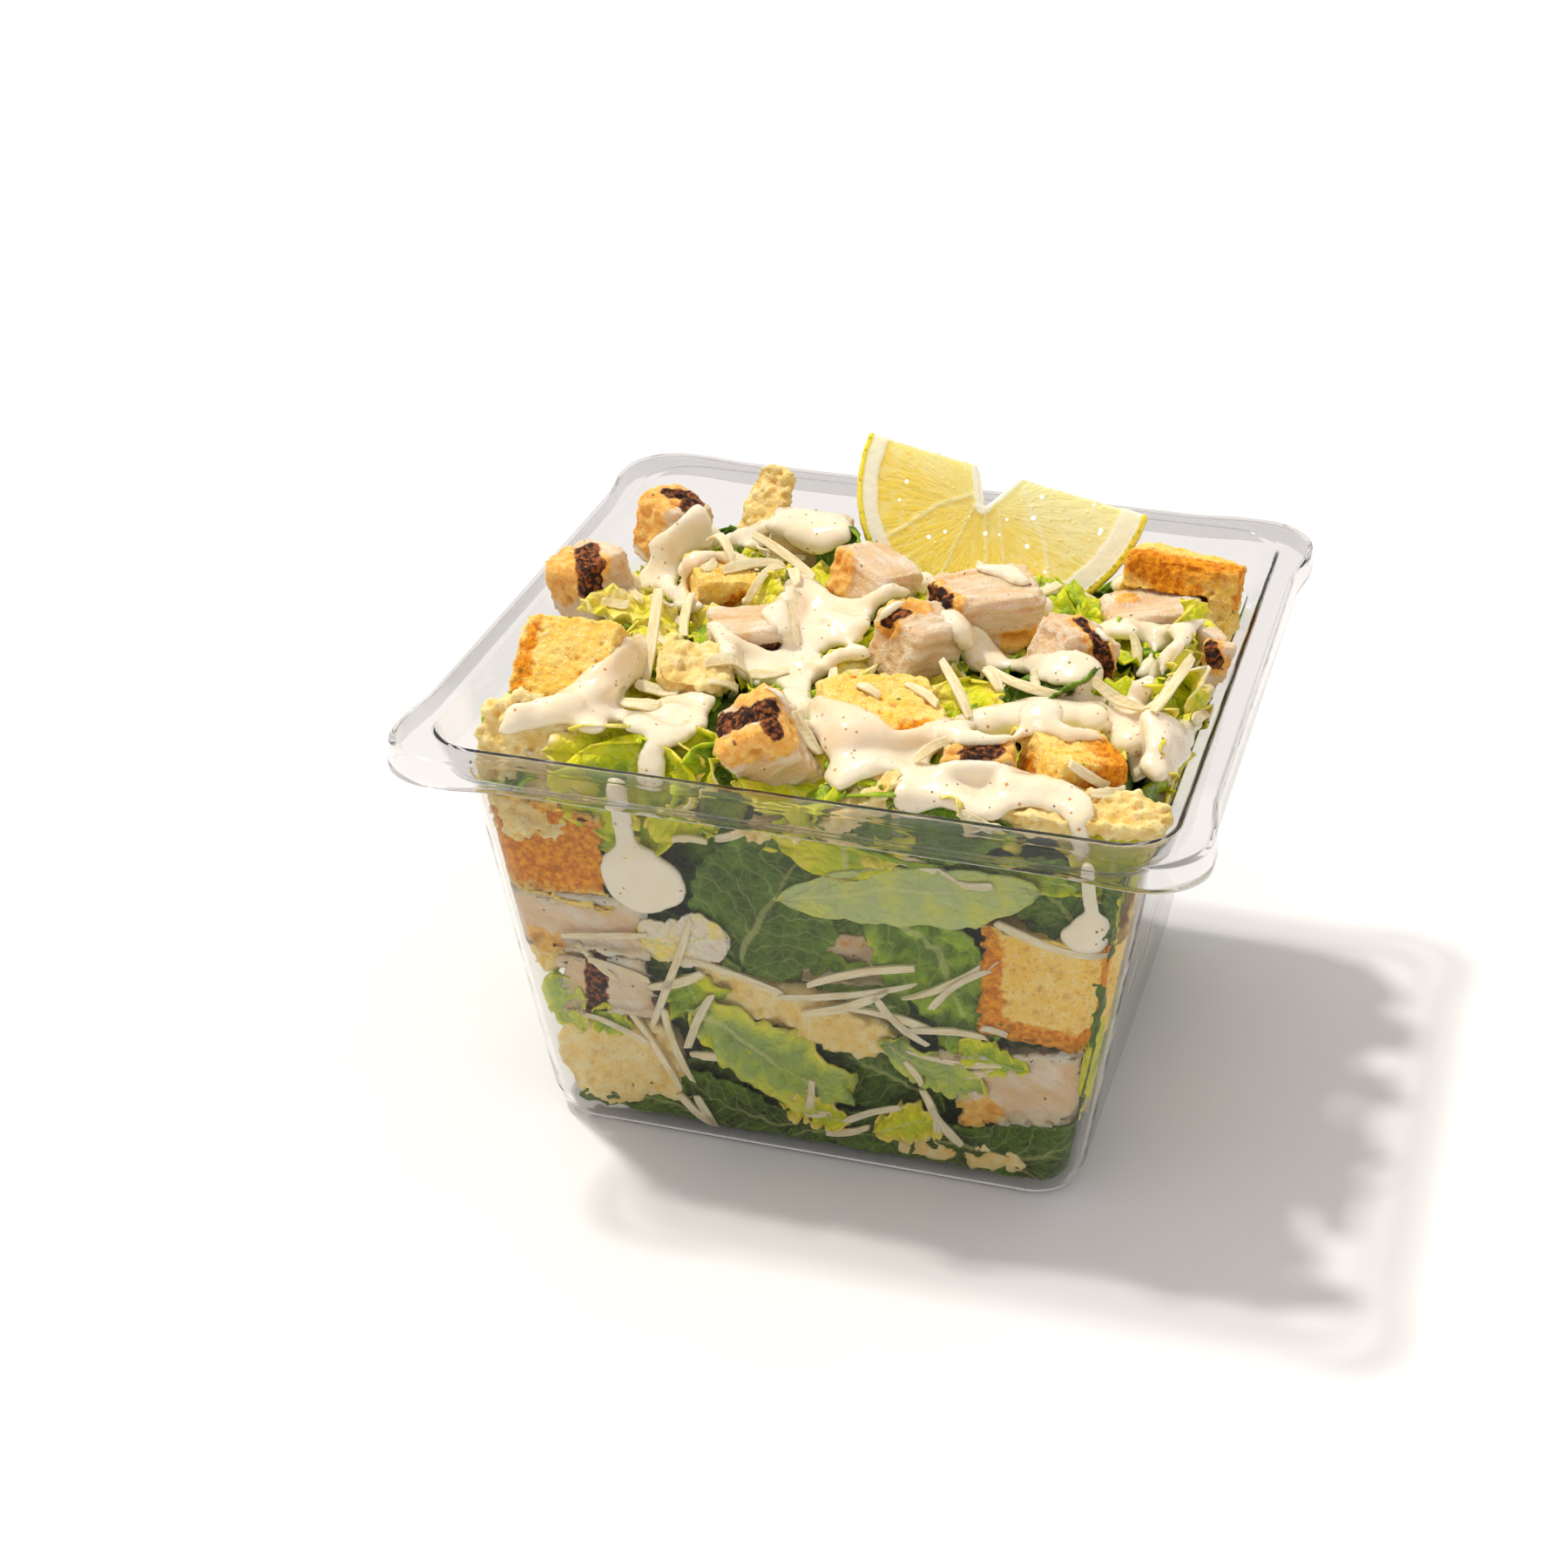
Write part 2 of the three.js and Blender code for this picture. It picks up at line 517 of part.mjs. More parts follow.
// Each topping is cut clear of those before it; the heap is cut clear of them all.
const cavity = buildCavity();
const lemon = buildLemon();
let taken = buildLemon(GAP);
const counts = {};
const placed = [];
TOPPINGS.forEach((topping, n) => {
  const body = toppingBody(topping, n).intersect(cavity);
  counts[topping.kind] = (counts[topping.kind] ?? 0) + 1;
  placed.push([`${topping.kind}_${counts[topping.kind]}`, body.subtract(taken), COATS[topping.kind]]);
  taken = taken.add(toppingRoom(topping));
});

let heap = buildCore();
const pieces = [...frontPieces(), ...otherWallPieces(), ...wallShreds(), ...topLeaves()];
for (const piece of [...pieces, ...ROPES.map(ropeBody)]) heap = heap.add(piece);
heap = heap.intersect(cavity).subtract(taken);

for (const [name, body, coat] of placed) group.add(meshOf(name, largest(body), coat));
group.add(meshOf('lemon', lemon, LEMON));
group.add(meshOf('salad', largest(heap), LETTUCE));

export default group;
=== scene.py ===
# %% [markdown]
# # A chicken caesar salad in a clear square tub
#
# The tub is thin clear plastic, and everything in it is food with a surface of its own: leaves,
# chicken, toasted bread, baked cheese, shreds, a slice of lemon and a thick dressing over it all.
# The solids come in first, as a fixed frame in metres. Each cell then makes one kind of food or
# one finish, and prints what it made.

# %% The frame and the tools
import math
import random
import bmesh
import bpy
import numpy as np
from mathutils import Matrix, Vector, noise
from mathutils.bvhtree import BVHTree


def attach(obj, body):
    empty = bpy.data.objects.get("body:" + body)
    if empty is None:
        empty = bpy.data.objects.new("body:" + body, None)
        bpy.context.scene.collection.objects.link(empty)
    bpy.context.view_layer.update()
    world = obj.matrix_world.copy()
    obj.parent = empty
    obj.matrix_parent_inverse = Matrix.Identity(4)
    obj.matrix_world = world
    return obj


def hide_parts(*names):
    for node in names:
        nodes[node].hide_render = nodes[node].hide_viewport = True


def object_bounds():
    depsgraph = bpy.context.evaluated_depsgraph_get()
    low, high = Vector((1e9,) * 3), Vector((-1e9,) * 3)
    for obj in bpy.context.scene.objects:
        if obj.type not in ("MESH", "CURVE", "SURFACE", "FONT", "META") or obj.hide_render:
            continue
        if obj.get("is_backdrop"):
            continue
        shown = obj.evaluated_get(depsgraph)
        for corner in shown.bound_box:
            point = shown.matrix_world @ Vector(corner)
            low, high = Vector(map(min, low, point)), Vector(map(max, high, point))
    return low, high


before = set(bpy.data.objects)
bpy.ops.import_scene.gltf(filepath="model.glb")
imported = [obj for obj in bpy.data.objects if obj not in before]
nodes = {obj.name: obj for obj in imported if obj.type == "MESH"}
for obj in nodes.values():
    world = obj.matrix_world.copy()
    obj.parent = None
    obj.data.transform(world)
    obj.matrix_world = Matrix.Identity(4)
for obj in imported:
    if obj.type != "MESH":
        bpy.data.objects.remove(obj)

cad_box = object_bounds()
MM = 0.001
print("frame:", len(nodes), "solids")

# %% [markdown]
# ## Sizes that many pieces share
#
# The food leans on the plastic, so the wall's slope is needed again and again. These few sizes,
# in millimetres, give it, and the rest is read from the frame.

# %% Sizes of the tub
RIM_HALF = 70.0        # half the rim's outer side
RIM_CORNER = 11.0      # its corner radius
RIM_EAR = 1.3          # how far the corners stand out
RIM_TOP = 84.5
SKIRT = 5.2            # the turned-down edge of the rim
FOOT_HALF = 50.15      # half the wall's side, carried down to the floor
WALL_HALF = 60.7       # half the wall's side under the ledge
LEDGE_Z = 75.5
SHEET = 0.75           # thickness of the plastic
SLANT = math.atan2(WALL_HALF - FOOT_HALF, LEDGE_Z)


def wall_half(z):
    return FOOT_HALF + (WALL_HALF - FOOT_HALF) * z / LEDGE_Z


def inner_half(z):
    return wall_half(z) - SHEET


def turned(x, y, z):
    """A turn about X, then Y, then Z, in degrees."""
    return (Matrix.Rotation(math.radians(z), 4, "Z") @ Matrix.Rotation(math.radians(y), 4, "Y")
            @ Matrix.Rotation(math.radians(x), 4, "X"))


def on_wall(side, along, up, depth, spin=0.0):
    """A place against the inside of a wall: X runs along it, Y up it and Z out through it.
    Side 0 is the front, then right, back and left. Depth is the gap to the plastic."""
    return (Matrix.Rotation(side * math.pi / 2, 4, "Z")
            @ Matrix.Translation((along, depth - inner_half(up), up))
            @ Matrix.Rotation(math.pi / 2 + SLANT, 4, "X")
            @ Matrix.Rotation(math.radians(spin), 4, "Z"))


print("wall leans out by", round(math.degrees(SLANT), 2), "degrees")

# %% [markdown]
# ## Camera
#
# A long lens from the front right, looking down a little under thirty degrees. The same numbers
# also give the ray through any spot of the picture, which is how dressing and shreds are laid
# later: the ray is followed until it meets the food.

# %% Camera
PICTURE = 1800         # the picture's side in pixels
LENS = 66.357
SENSOR = 36.0
VIEW_TURN = math.radians(16.5)
VIEW_RISE = math.radians(28.8)
VIEW_ROLL = math.radians(0.07)
VIEW_AT = Vector((-18.2, -1.61, 50.0))
VIEW_REACH = 552.14

back = Vector((math.sin(VIEW_TURN) * math.cos(VIEW_RISE), -math.cos(VIEW_TURN) * math.cos(VIEW_RISE),
               math.sin(VIEW_RISE)))
level = (-back).cross(Vector((0, 0, 1))).normalized()
upright = level.cross(-back)
right = math.cos(VIEW_ROLL) * level + math.sin(VIEW_ROLL) * upright
above = math.cos(VIEW_ROLL) * upright - math.sin(VIEW_ROLL) * level
eye = VIEW_AT + back * VIEW_REACH

camera = bpy.data.objects.new("camera", bpy.data.cameras.new("camera"))
bpy.context.scene.collection.objects.link(camera)
camera.matrix_world = Matrix.Translation(eye * MM) @ Matrix((right, above, back)).transposed().to_4x4()
camera.data.lens = LENS
camera.data.sensor_width = SENSOR
camera.data.clip_start = 0.01
bpy.context.scene.camera = camera


def sight(px, py):
    """The direction from the eye through a pixel of the picture."""
    reach = LENS / SENSOR * PICTURE
    return (right * (px - PICTURE / 2) / reach - above * (py - PICTURE / 2) / reach - back).normalized()


print("camera at", [round(c) for c in eye], "mm")

# %% [markdown]
# ## Light and floor
#
# One high sun from the left gives the small highlights and the soft-edged shadow on the right. A
# pale world fills it in. The floor is a plain white sheet, far larger than the view.

# %% Light and floor
SUN_FROM = Vector((-0.43, 0.12, 0.89))
SUN_POWER = 2.55
SUN_SPREAD = math.radians(4.4)
WORLD_LIGHT = 0.74

sun = bpy.data.objects.new("sun", bpy.data.lights.new("sun", "SUN"))
bpy.context.scene.collection.objects.link(sun)
sun.rotation_euler = SUN_FROM.to_track_quat("Z", "Y").to_euler()
sun.data.energy = SUN_POWER
sun.data.angle = SUN_SPREAD
sun.data.color = (1.0, 0.965, 0.90)

world = bpy.data.worlds.new("studio")
bpy.context.scene.world = world
world.use_nodes = True
world.node_tree.nodes["Background"].inputs["Color"].default_value = (1.0, 0.94, 0.93, 1)
world.node_tree.nodes["Background"].inputs["Strength"].default_value = WORLD_LIGHT
bpy.context.scene.view_settings.view_transform = "Standard"
print("sun", SUN_POWER, "world", WORLD_LIGHT)

# %% [markdown]
# ## Small helpers for materials
#
# A material is a small program of nodes. These helpers add a node, set its sockets and wire it, so
# that each finish below reads from top to bottom. Patterns are measured in millimetres: the
# object's own coordinates, in metres, are scaled by a thousand once.

# %% Material helpers


def fill_socket(tree, socket, value):
    """Gives a socket a number, a colour or another node's output."""
    if isinstance(value, bpy.types.NodeSocket):
        tree.links.new(value, socket)
    elif socket.type == "RGBA" and len(value) == 3:
        socket.default_value = (*value, 1)
    else:
        socket.default_value = value


def put(tree, kind, settings=None, **sockets):
    """Adds a node. Its sockets go by name, or by number where names repeat: i0 is the first."""
    made = tree.nodes.new(kind)
    for name, value in (settings or {}).items():
        setattr(made, name, value)
    for name, value in sockets.items():
        by_number = name[0] == "i" and name[1:].isdigit()
        socket = made.inputs[int(name[1:]) if by_number else name.replace("_", " ")]
        fill_socket(tree, socket, value)
    return made


def calc(tree, operation, a, b=0.0, c=0.0):
    return put(tree, "ShaderNodeMath", {"operation": operation}, i0=a, i1=b, i2=c).outputs[0]


def times(tree, a, b):
    return calc(tree, "MULTIPLY", a, b)


def times_plus(tree, a, b, c):
    """a times b plus c."""
    return calc(tree, "MULTIPLY_ADD", a, b, c)


def blend(tree, share, a, b):
    """From colour a to colour b by a share from 0 to 1."""
    return put(tree, "ShaderNodeMix", {"data_type": "RGBA"}, i0=share, i6=a, i7=b).outputs[2]


def lay_over(tree, under, colour, mask, strength):
    """A colour over another where a mask says, as strongly as strength says."""
    return blend(tree, times(tree, mask, strength), under, colour)


def step_between(tree, value, low, high):
    """0 below low, 1 above high, smooth between; low may be the larger."""
    node = put(tree, "ShaderNodeMapRange", {"interpolation_type": "SMOOTHSTEP"}, i0=value,
               i1=min(low, high), i2=max(low, high), i3=float(low > high), i4=float(low <= high))
    return node.outputs[0]


def noise_of(tree, where, scale, detail, roughness=0.5):
    return put(tree, "ShaderNodeTexNoise", Vector=where, Scale=scale, Detail=detail,
               Roughness=roughness).outputs[0]


def spots_of(tree, where, scale):
    """The distance to the nearest of many scattered spots."""
    return put(tree, "ShaderNodeTexVoronoi", Vector=where, Scale=scale).outputs["Distance"]


def walls_of(tree, where, scale):
    """The distance to the walls between scattered cells."""
    return put(tree, "ShaderNodeTexVoronoi", {"feature": "DISTANCE_TO_EDGE"}, Vector=where,
               Scale=scale).outputs[0]


def from_mesh(tree, name, output="Fac"):
    """A value, or with output Vector a place, that was written on the mesh under a name."""
    return put(tree, "ShaderNodeAttribute", {"attribute_name": name}).outputs[output]


def millimetres(tree):
    where = put(tree, "ShaderNodeTexCoord").outputs["Object"]
    return put(tree, "ShaderNodeVectorMath", {"operation": "SCALE"}, i0=where, Scale=1 / MM).outputs[0]


def stretched(tree, where, scale):
    return put(tree, "ShaderNodeMapping", i0=where, Scale=scale).outputs[0]


def bump(tree, height, strength, distance):
    """A normal tilted by the slope of a height; distance is in metres."""
    return put(tree, "ShaderNodeBump", Strength=strength, Distance=distance, Height=height).outputs[0]


def new_material(name, **shader):
    """A material with one Principled shader, whose plain sockets are set here."""
    made = bpy.data.materials.new(name)
    made.use_nodes = True
    bsdf = made.node_tree.nodes["Principled BSDF"]
    for socket, value in shader.items():
        bsdf.inputs[socket.replace("_", " ")].default_value = value
    return made, made.node_tree, bsdf


def wire(tree, shader, **sockets):
    """Wires what was worked out into the shader's sockets."""
    for name, value in sockets.items():
        tree.links.new(value, shader.inputs[name.replace("_", " ")])


def new_group(name, inputs, outputs):
    """An empty node group with named sockets: (name, kind, value) in and (name, kind) out."""
    group = bpy.data.node_groups.new(name, "ShaderNodeTree")
    for socket, kind, value in inputs:
        made = group.interface.new_socket(name=socket, in_out="INPUT", socket_type="NodeSocket" + kind)
        if value is not None:
            made.default_value = value
    for socket, kind in outputs:
        group.interface.new_socket(name=socket, in_out="OUTPUT", socket_type="NodeSocket" + kind)
    start = group.nodes.new("NodeGroupInput")
    end = group.nodes.new("NodeGroupOutput")
    return group, start.outputs, end.inputs


def use(tree, group, **sockets):
    node = tree.nodes.new("ShaderNodeGroup")
    node.node_tree = group
    for name, value in sockets.items():
        socket = node.inputs[name]
        if isinstance(value, bpy.types.NodeSocket):
            tree.links.new(value, socket)
        else:
            socket.default_value = value
    return node.outputs


print("material helpers ready")

# %% [markdown]
# ## Patterns that several foods share
#
# Three small groups: soft blotches, sparse specks of herb or pepper (and the lemon's painted
# glints), and the tiny pores of bread and seared meat. Each is built once and placed in a material
# with its own scale.

# %% Shared patterns
WHERE = ("Where", "Vector", None)

blotch, given, put_out = new_group(
    "blotches", [WHERE, ("Size", "Float", 3.0), ("Low", "Float", 0.4), ("High", "Float", 0.6)],
    [("Share", "Float")])
clouding = noise_of(blotch, given["Where"], calc(blotch, "DIVIDE", 1.0, given["Size"]), 3.0, 0.55)
share = put(blotch, "ShaderNodeMapRange", {"interpolation_type": "SMOOTHSTEP"},
            i0=clouding, i1=given["Low"], i2=given["High"]).outputs[0]
blotch.links.new(share, put_out["Share"])

specks, given, put_out = new_group(
    "specks", [WHERE, ("Spacing", "Float", 3.0), ("Radius", "Float", 0.12), ("Kept", "Float", 0.5)],
    [("Mask", "Float"), ("Pick", "Float")])
spots = put(specks, "ShaderNodeTexVoronoi", Vector=given["Where"],
            Scale=calc(specks, "DIVIDE", 1.0, given["Spacing"])).outputs
chance = put(specks, "ShaderNodeSeparateColor", i0=spots["Color"]).outputs
near = calc(specks, "LESS_THAN", spots["Distance"], given["Radius"])
kept = calc(specks, "LESS_THAN", chance[0], given["Kept"])
specks.links.new(times(specks, near, kept), put_out["Mask"])
specks.links.new(chance[1], put_out["Pick"])

pores, given, put_out = new_group(
    "pores", [WHERE, ("Size", "Float", 1.0)], [("Hollow", "Float"), ("Grain", "Float")])
scale = calc(pores, "DIVIDE", 1.0, given["Size"])
from_spot = spots_of(pores, given["Where"], scale)
pores.links.new(step_between(pores, from_spot, 0.42, 0.12), put_out["Hollow"])
pores.links.new(noise_of(pores, given["Where"], times(pores, scale, 2.3), 4.0, 0.65), put_out["Grain"])
print("groups:", [group.name for group in bpy.data.node_groups])

# %% [markdown]
# ## Turning a bmesh into a piece
#
# Every piece is shaped in millimetres in a bmesh, scaled to metres once at the end, and left at the
# origin with its place in its mesh. Modifiers such as Remesh are applied by taking the evaluated
# mesh, so that the fine relief can be pushed in afterwards, point by point.

# %% Piece helpers


def as_object(name, bm, in_mm=True):
    """Makes a bmesh into an object of the scene."""
    if in_mm:
        bmesh.ops.scale(bm, vec=Vector((MM, MM, MM)), verts=bm.verts)
    mesh = bpy.data.meshes.new(name)
    bm.to_mesh(mesh)
    bm.free()
    made = bpy.data.objects.new(name, mesh)
    bpy.context.scene.collection.objects.link(made)
    return made


def bake_modifiers(made):
    """Takes the mesh as its modifiers leave it, and removes them."""
    graph = bpy.context.evaluated_depsgraph_get()
    mesh = bpy.data.meshes.new_from_object(made.evaluated_get(graph), preserve_all_data_layers=True,
                                           depsgraph=graph)
    old = made.data
    made.modifiers.clear()
    made.data = mesh
    mesh.name = made.name
    bpy.data.meshes.remove(old)
    return made


def remesh(made, voxel):
    """Gives it one even skin, by cubes of voxel millimetres."""
    skin = made.modifiers.new("remesh", "REMESH")
    skin.mode = "VOXEL"
    skin.voxel_size = voxel * MM
    return bake_modifiers(made)


def shade_smooth(made, smooth):
    made.data.polygons.foreach_set("use_smooth", [smooth] * len(made.data.polygons))


def finish(made, material, slot, *stands_for):
    """The last step of a piece: its material, its body, and the solids it stands for. Its slot is not used."""
    made.data.materials.clear()
    made.data.materials.append(material)
    shade_smooth(made, True)
    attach(made, "root")
    if stands_for:
        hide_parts(*stands_for)
    print(made.name, len(made.data.polygons), "faces")
    return made


def points_of(made):
    """The mesh's points in millimetres, as an array."""
    co = np.empty(len(made.data.vertices) * 3)
    made.data.vertices.foreach_get("co", co)
    return co.reshape(-1, 3) / MM


def move_points(made, co):
    made.data.vertices.foreach_set("co", (co * MM).ravel())
    made.data.update()


def push(made, amounts):
    """Moves each point along its normal by an amount in millimetres."""
    normal = np.empty(len(made.data.vertices) * 3)
    made.data.vertices.foreach_get("normal", normal)
    move_points(made, points_of(made) + normal.reshape(-1, 3) * np.asarray(amounts)[:, None])


def write_values(made, name, values):
    """Writes a number, or a place where values has three columns, at each point of the mesh."""
    is_place = np.ndim(values) == 2
    kind, field = ("FLOAT_VECTOR", "vector") if is_place else ("FLOAT", "value")
    layer = made.data.attributes.new(name, kind, "POINT")
    layer.data.foreach_set(field, np.asarray(values, dtype=np.float32).ravel())


def read_values(made, name):
    return np.array([point.value for point in made.data.attributes[name].data])


def tree_of(*objects):
    """One search tree, in millimetres, over several pieces."""
    verts, faces = [], []
    for made in objects:
        start = len(verts)
        verts += [v.co / MM for v in made.data.vertices]
        faces += [[start + i for i in p.vertices] for p in made.data.polygons]
    return BVHTree.FromPolygons(verts, faces)


def smooth_step(low, high, value):
    t = np.clip((value - low) / (high - low), 0, 1)
    return t * t * (3 - 2 * t)


def near_line(co, line):
    """Distance of each point to a line through several places."""
    best = np.full(len(co), np.inf)
    line = [np.array(p, float) for p in line]
    for a, b in zip(line, line[1:] or line):
        run = b - a
        t = np.clip((co - a) @ run / max(run @ run, 1e-9), 0, 1)
        best = np.minimum(best, np.linalg.norm(co - a - t[:, None] * run, axis=1))
    return best


def wobble(co, size, seed=0.0):
    """Noise from -1 to 1 at each point; size is that of its lumps."""
    shift = Vector((seed * 7.1, seed * 3.7, seed * 5.3))
    return np.array([noise.noise(Vector(p) / size + shift) for p in co])


def cells(co, size, seed=0.0):
    """Distance to the nearest of many random points, in units of size."""
    shift = Vector((seed * 2.1, seed * 4.7, seed * 1.3))
    return np.array([noise.voronoi(Vector(p) / size + shift)[0][0] for p in co])


print("helpers ready")

# %% Floor
PAPER = ((0.805, 0.805, 0.805), (0.82, 0.82, 0.82))
FLOOR_REACH = 3000     # millimetres each way

floor_stuff, tree, shader = new_material("floor", Roughness=0.9)
unevenness = use(tree, blotch, Where=millimetres(tree), Size=40.0, Low=0.3, High=0.7)["Share"]
wire(tree, shader, Base_Color=blend(tree, unevenness, *PAPER))
bm = bmesh.new()
bmesh.ops.create_grid(bm, x_segments=1, y_segments=1, size=FLOOR_REACH)
floor = as_object("floor", bm)
floor.data.materials.append(floor_stuff)
floor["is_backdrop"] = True
print("floor laid")

# %% [markdown]
# ## Chicken
#
# Cooked breast is pale and fibrous where it is cut, and tan where it met the pan, with stripes of
# dark char. The cubes start as copies of the solids. A voxel remesh gives them an even skin, and
# the relief is pushed in by code: lumps, fibres that run one way, and pits under the char. Where
# the char lies is painted first, as an attribute, because both relief and colour need it.

# %% Chicken finish
FLESH = ((0.82, 0.70, 0.54), (0.80, 0.60, 0.38))
FIBRE = (0.90, 0.80, 0.66)
BETWEEN_FIBRES = (0.70, 0.44, 0.20)
# Painted shade for the low parts of the relief, on the flesh.
FLESH_PAINTED_SHADE = (0.78, 0.48, 0.18)
SEARED = ((1.0, 0.59, 0.11), (0.84, 0.37, 0.03))
SEARED_GRAIN = (0.92, 0.66, 0.34)
# Painted shade for the low parts of the relief, on the tan.
SEARED_PAINTED_SHADE = (0.62, 0.22, 0.008)
RUST = (0.36, 0.12, 0.03)
CHARRED = ((0.03, 0.011, 0.006), (0.34, 0.10, 0.025))
SPICE = (0.20, 0.07, 0.03)

chicken_stuff, tree, shader = new_material(
    "roast chicken", Subsurface_Weight=0.5, Subsurface_Radius=(1.0, 0.42, 0.18), Subsurface_Scale=0.004)
grain = from_mesh(tree, "grain", "Vector")
seared = from_mesh(tree, "seared")
charred = from_mesh(tree, "charred")
painted_shade_share = from_mesh(tree, "painted_shade_share")
fibres = noise_of(tree, stretched(tree, grain, (0.14, 1.0, 1.0)), 1.9, 6.0, 0.65)
clouds = use(tree, blotch, Where=grain, Size=5.0, Low=0.35, High=0.65)["Share"]
ragged = use(tree, blotch, Where=grain, Size=1.6, Low=0.25, High=0.75)["Share"]
fine = use(tree, blotch, Where=grain, Size=0.55, Low=0.35, High=0.65)["Share"]
singed = use(tree, blotch, Where=grain, Size=1.1, Low=0.45, High=0.62)["Share"]
pocks = use(tree, pores, Where=grain, Size=0.8)["Hollow"]
flecks = use(tree, specks, Where=grain, Spacing=2.6, Radius=0.11, Kept=0.35)["Mask"]

flesh = blend(tree, clouds, *FLESH)
flesh = lay_over(tree, flesh, FIBRE, step_between(tree, fibres, 0.42, 0.66), 0.6)
flesh = lay_over(tree, flesh, BETWEEN_FIBRES, step_between(tree, fibres, 0.42, 0.3), 0.35)
# Painted shade in the low parts of the relief, on the flesh here and on the tan below.
flesh = lay_over(tree, flesh, FLESH_PAINTED_SHADE, painted_shade_share, 0.6)
brown = blend(tree, ragged, *SEARED)
brown = lay_over(tree, brown, SEARED_GRAIN, fine, 0.3)
brown = lay_over(tree, brown, SEARED_PAINTED_SHADE, painted_shade_share, 0.7)
black = blend(tree, times(tree, singed, times_plus(tree, pocks, -0.5, 1.0)), *CHARRED)
uneven = times_plus(tree, ragged, 0.5, times(tree, fine, 0.25))
brown_share = step_between(tree, calc(tree, "ADD", seared, uneven), 0.5, 1.35)
uneven = times_plus(tree, ragged, 0.4, times(tree, fine, 0.3))
black_share = step_between(tree, calc(tree, "ADD", charred, uneven), 0.6, 1.0)
rust_share = step_between(tree, calc(tree, "ADD", charred, times(tree, ragged, 0.4)), 0.3, 0.75)
skin = blend(tree, brown_share, flesh, brown)
skin = lay_over(tree, skin, RUST, rust_share, 0.7)
skin = blend(tree, black_share, skin, black)
skin = lay_over(tree, skin, SPICE, flecks, 0.8)

wet = times_plus(tree, fibres, 0.25, 0.33)
depth = times_plus(tree, fibres, 0.6, times(tree, fine, 0.25))
depth = times_plus(tree, pocks, times_plus(tree, black_share, -1.2, -0.15), depth)
wire(tree, shader, Base_Color=skin, Roughness=times_plus(tree, black_share, 0.2, wet),
     Specular_IOR_Level=times_plus(tree, charred, -0.1, 0.3), Normal=bump(tree, depth, 0.8, 0.0006))
print("chicken finish ready")

# %% [markdown]
# ## Toasted bread
#
# A crouton is a dry golden crumb, full of little holes, under a darker orange crust. Green flecks
# of herb stick to it. The holes are real dents in the mesh where they are large, and pores in the
# finish where they are smaller than half a millimetre. Painted shade darkens the holes and the crumb
# between its grains, and painted light brightens the tops of the grains.

# %% Bread finish
CRUMB = ((1.0, 0.79, 0.30), (0.96, 0.64, 0.15))
# Painted shade between the crumb's grains, and painted light on their tops:
CRUMB_PAINTED_SHADE = (0.92, 0.52, 0.03)
CRUMB_PAINTED_LIGHT = (0.98, 0.88, 0.60)
FRECKLE = (0.76, 0.30, 0.03)
CRUST = ((0.92, 0.38, 0.015), (0.58, 0.15, 0.006))
# Painted light on the crust's grains, and painted shade in the holes:
CRUST_PAINTED_LIGHT = (0.98, 0.56, 0.08)
HOLE_PAINTED_SHADE = (0.62, 0.25, 0.01)
HERB = (0.10, 0.16, 0.02)

bread_stuff, tree, shader = new_material(
    "toasted bread", Specular_IOR_Level=0.12, Subsurface_Weight=0.25,
    Subsurface_Radius=(1.0, 0.5, 0.12), Subsurface_Scale=0.002)
grain = from_mesh(tree, "grain", "Vector")
crust = from_mesh(tree, "crust")
painted_shade_share = from_mesh(tree, "painted_shade_share")
clouds = use(tree, blotch, Where=grain, Size=4.0, Low=0.35, High=0.65)["Share"]
freckles = use(tree, blotch, Where=grain, Size=0.9, Low=0.56, High=0.68)["Share"]
fine = use(tree, pores, Where=grain, Size=0.75)
coarse = use(tree, pores, Where=grain, Size=2.7)["Grain"]
herbs = use(tree, specks, Where=grain, Spacing=3.4, Radius=0.13, Kept=0.2)["Mask"]

crumb = blend(tree, clouds, *CRUMB)
# Painted shade between the crumb's grains, and painted light on their tops.
crumb = lay_over(tree, crumb, CRUMB_PAINTED_SHADE, step_between(tree, fine["Hollow"], 0.35, 0.0), 0.4)
crumb = lay_over(tree, crumb, CRUMB_PAINTED_LIGHT, fine["Hollow"], 0.4)
crumb = lay_over(tree, crumb, FRECKLE, freckles, 0.6)
toasted = blend(tree, step_between(tree, coarse, 0.35, 0.65), *CRUST)
# Painted light on the tops of the crust's grains.
toasted = lay_over(tree, toasted, CRUST_PAINTED_LIGHT, fine["Hollow"], 0.2)
uneven = times_plus(tree, coarse, 0.5, times(tree, freckles, 0.3))
crust_share = step_between(tree, calc(tree, "ADD", crust, uneven), 0.35, 1.2)
bread = blend(tree, crust_share, crumb, toasted)
# Painted shade in the holes.
bread = lay_over(tree, bread, HOLE_PAINTED_SHADE, painted_shade_share, 0.6)
bread = lay_over(tree, bread, HERB, herbs, 0.85)

depth = times_plus(tree, fine["Grain"], 0.9, times(tree, fine["Hollow"], 0.6))
wire(tree, shader, Base_Color=bread, Roughness=times_plus(tree, crust_share, -0.2, 0.82),
     Normal=bump(tree, depth, 0.5, 0.0007))
print("bread finish ready")

# %% [markdown]
# ## Baked cheese crisps
#
# Grated cheese baked until it bubbles: pale yellow, lumpy and a little oily. Painted light pales
# the tops of its bumps, and painted shade browns its pores and hollows.

# %% Crisp finish
BAKED = ((0.95, 0.78, 0.37), (0.93, 0.68, 0.22))
# Painted light on the tops of the bumps, and painted shade in the pores and hollows:
BUMP_PAINTED_LIGHT = (0.96, 0.87, 0.62)
PORE_PAINTED_SHADE = (0.84, 0.52, 0.08)
CRISP_HOLLOW_PAINTED_SHADE = (0.84, 0.50, 0.05)

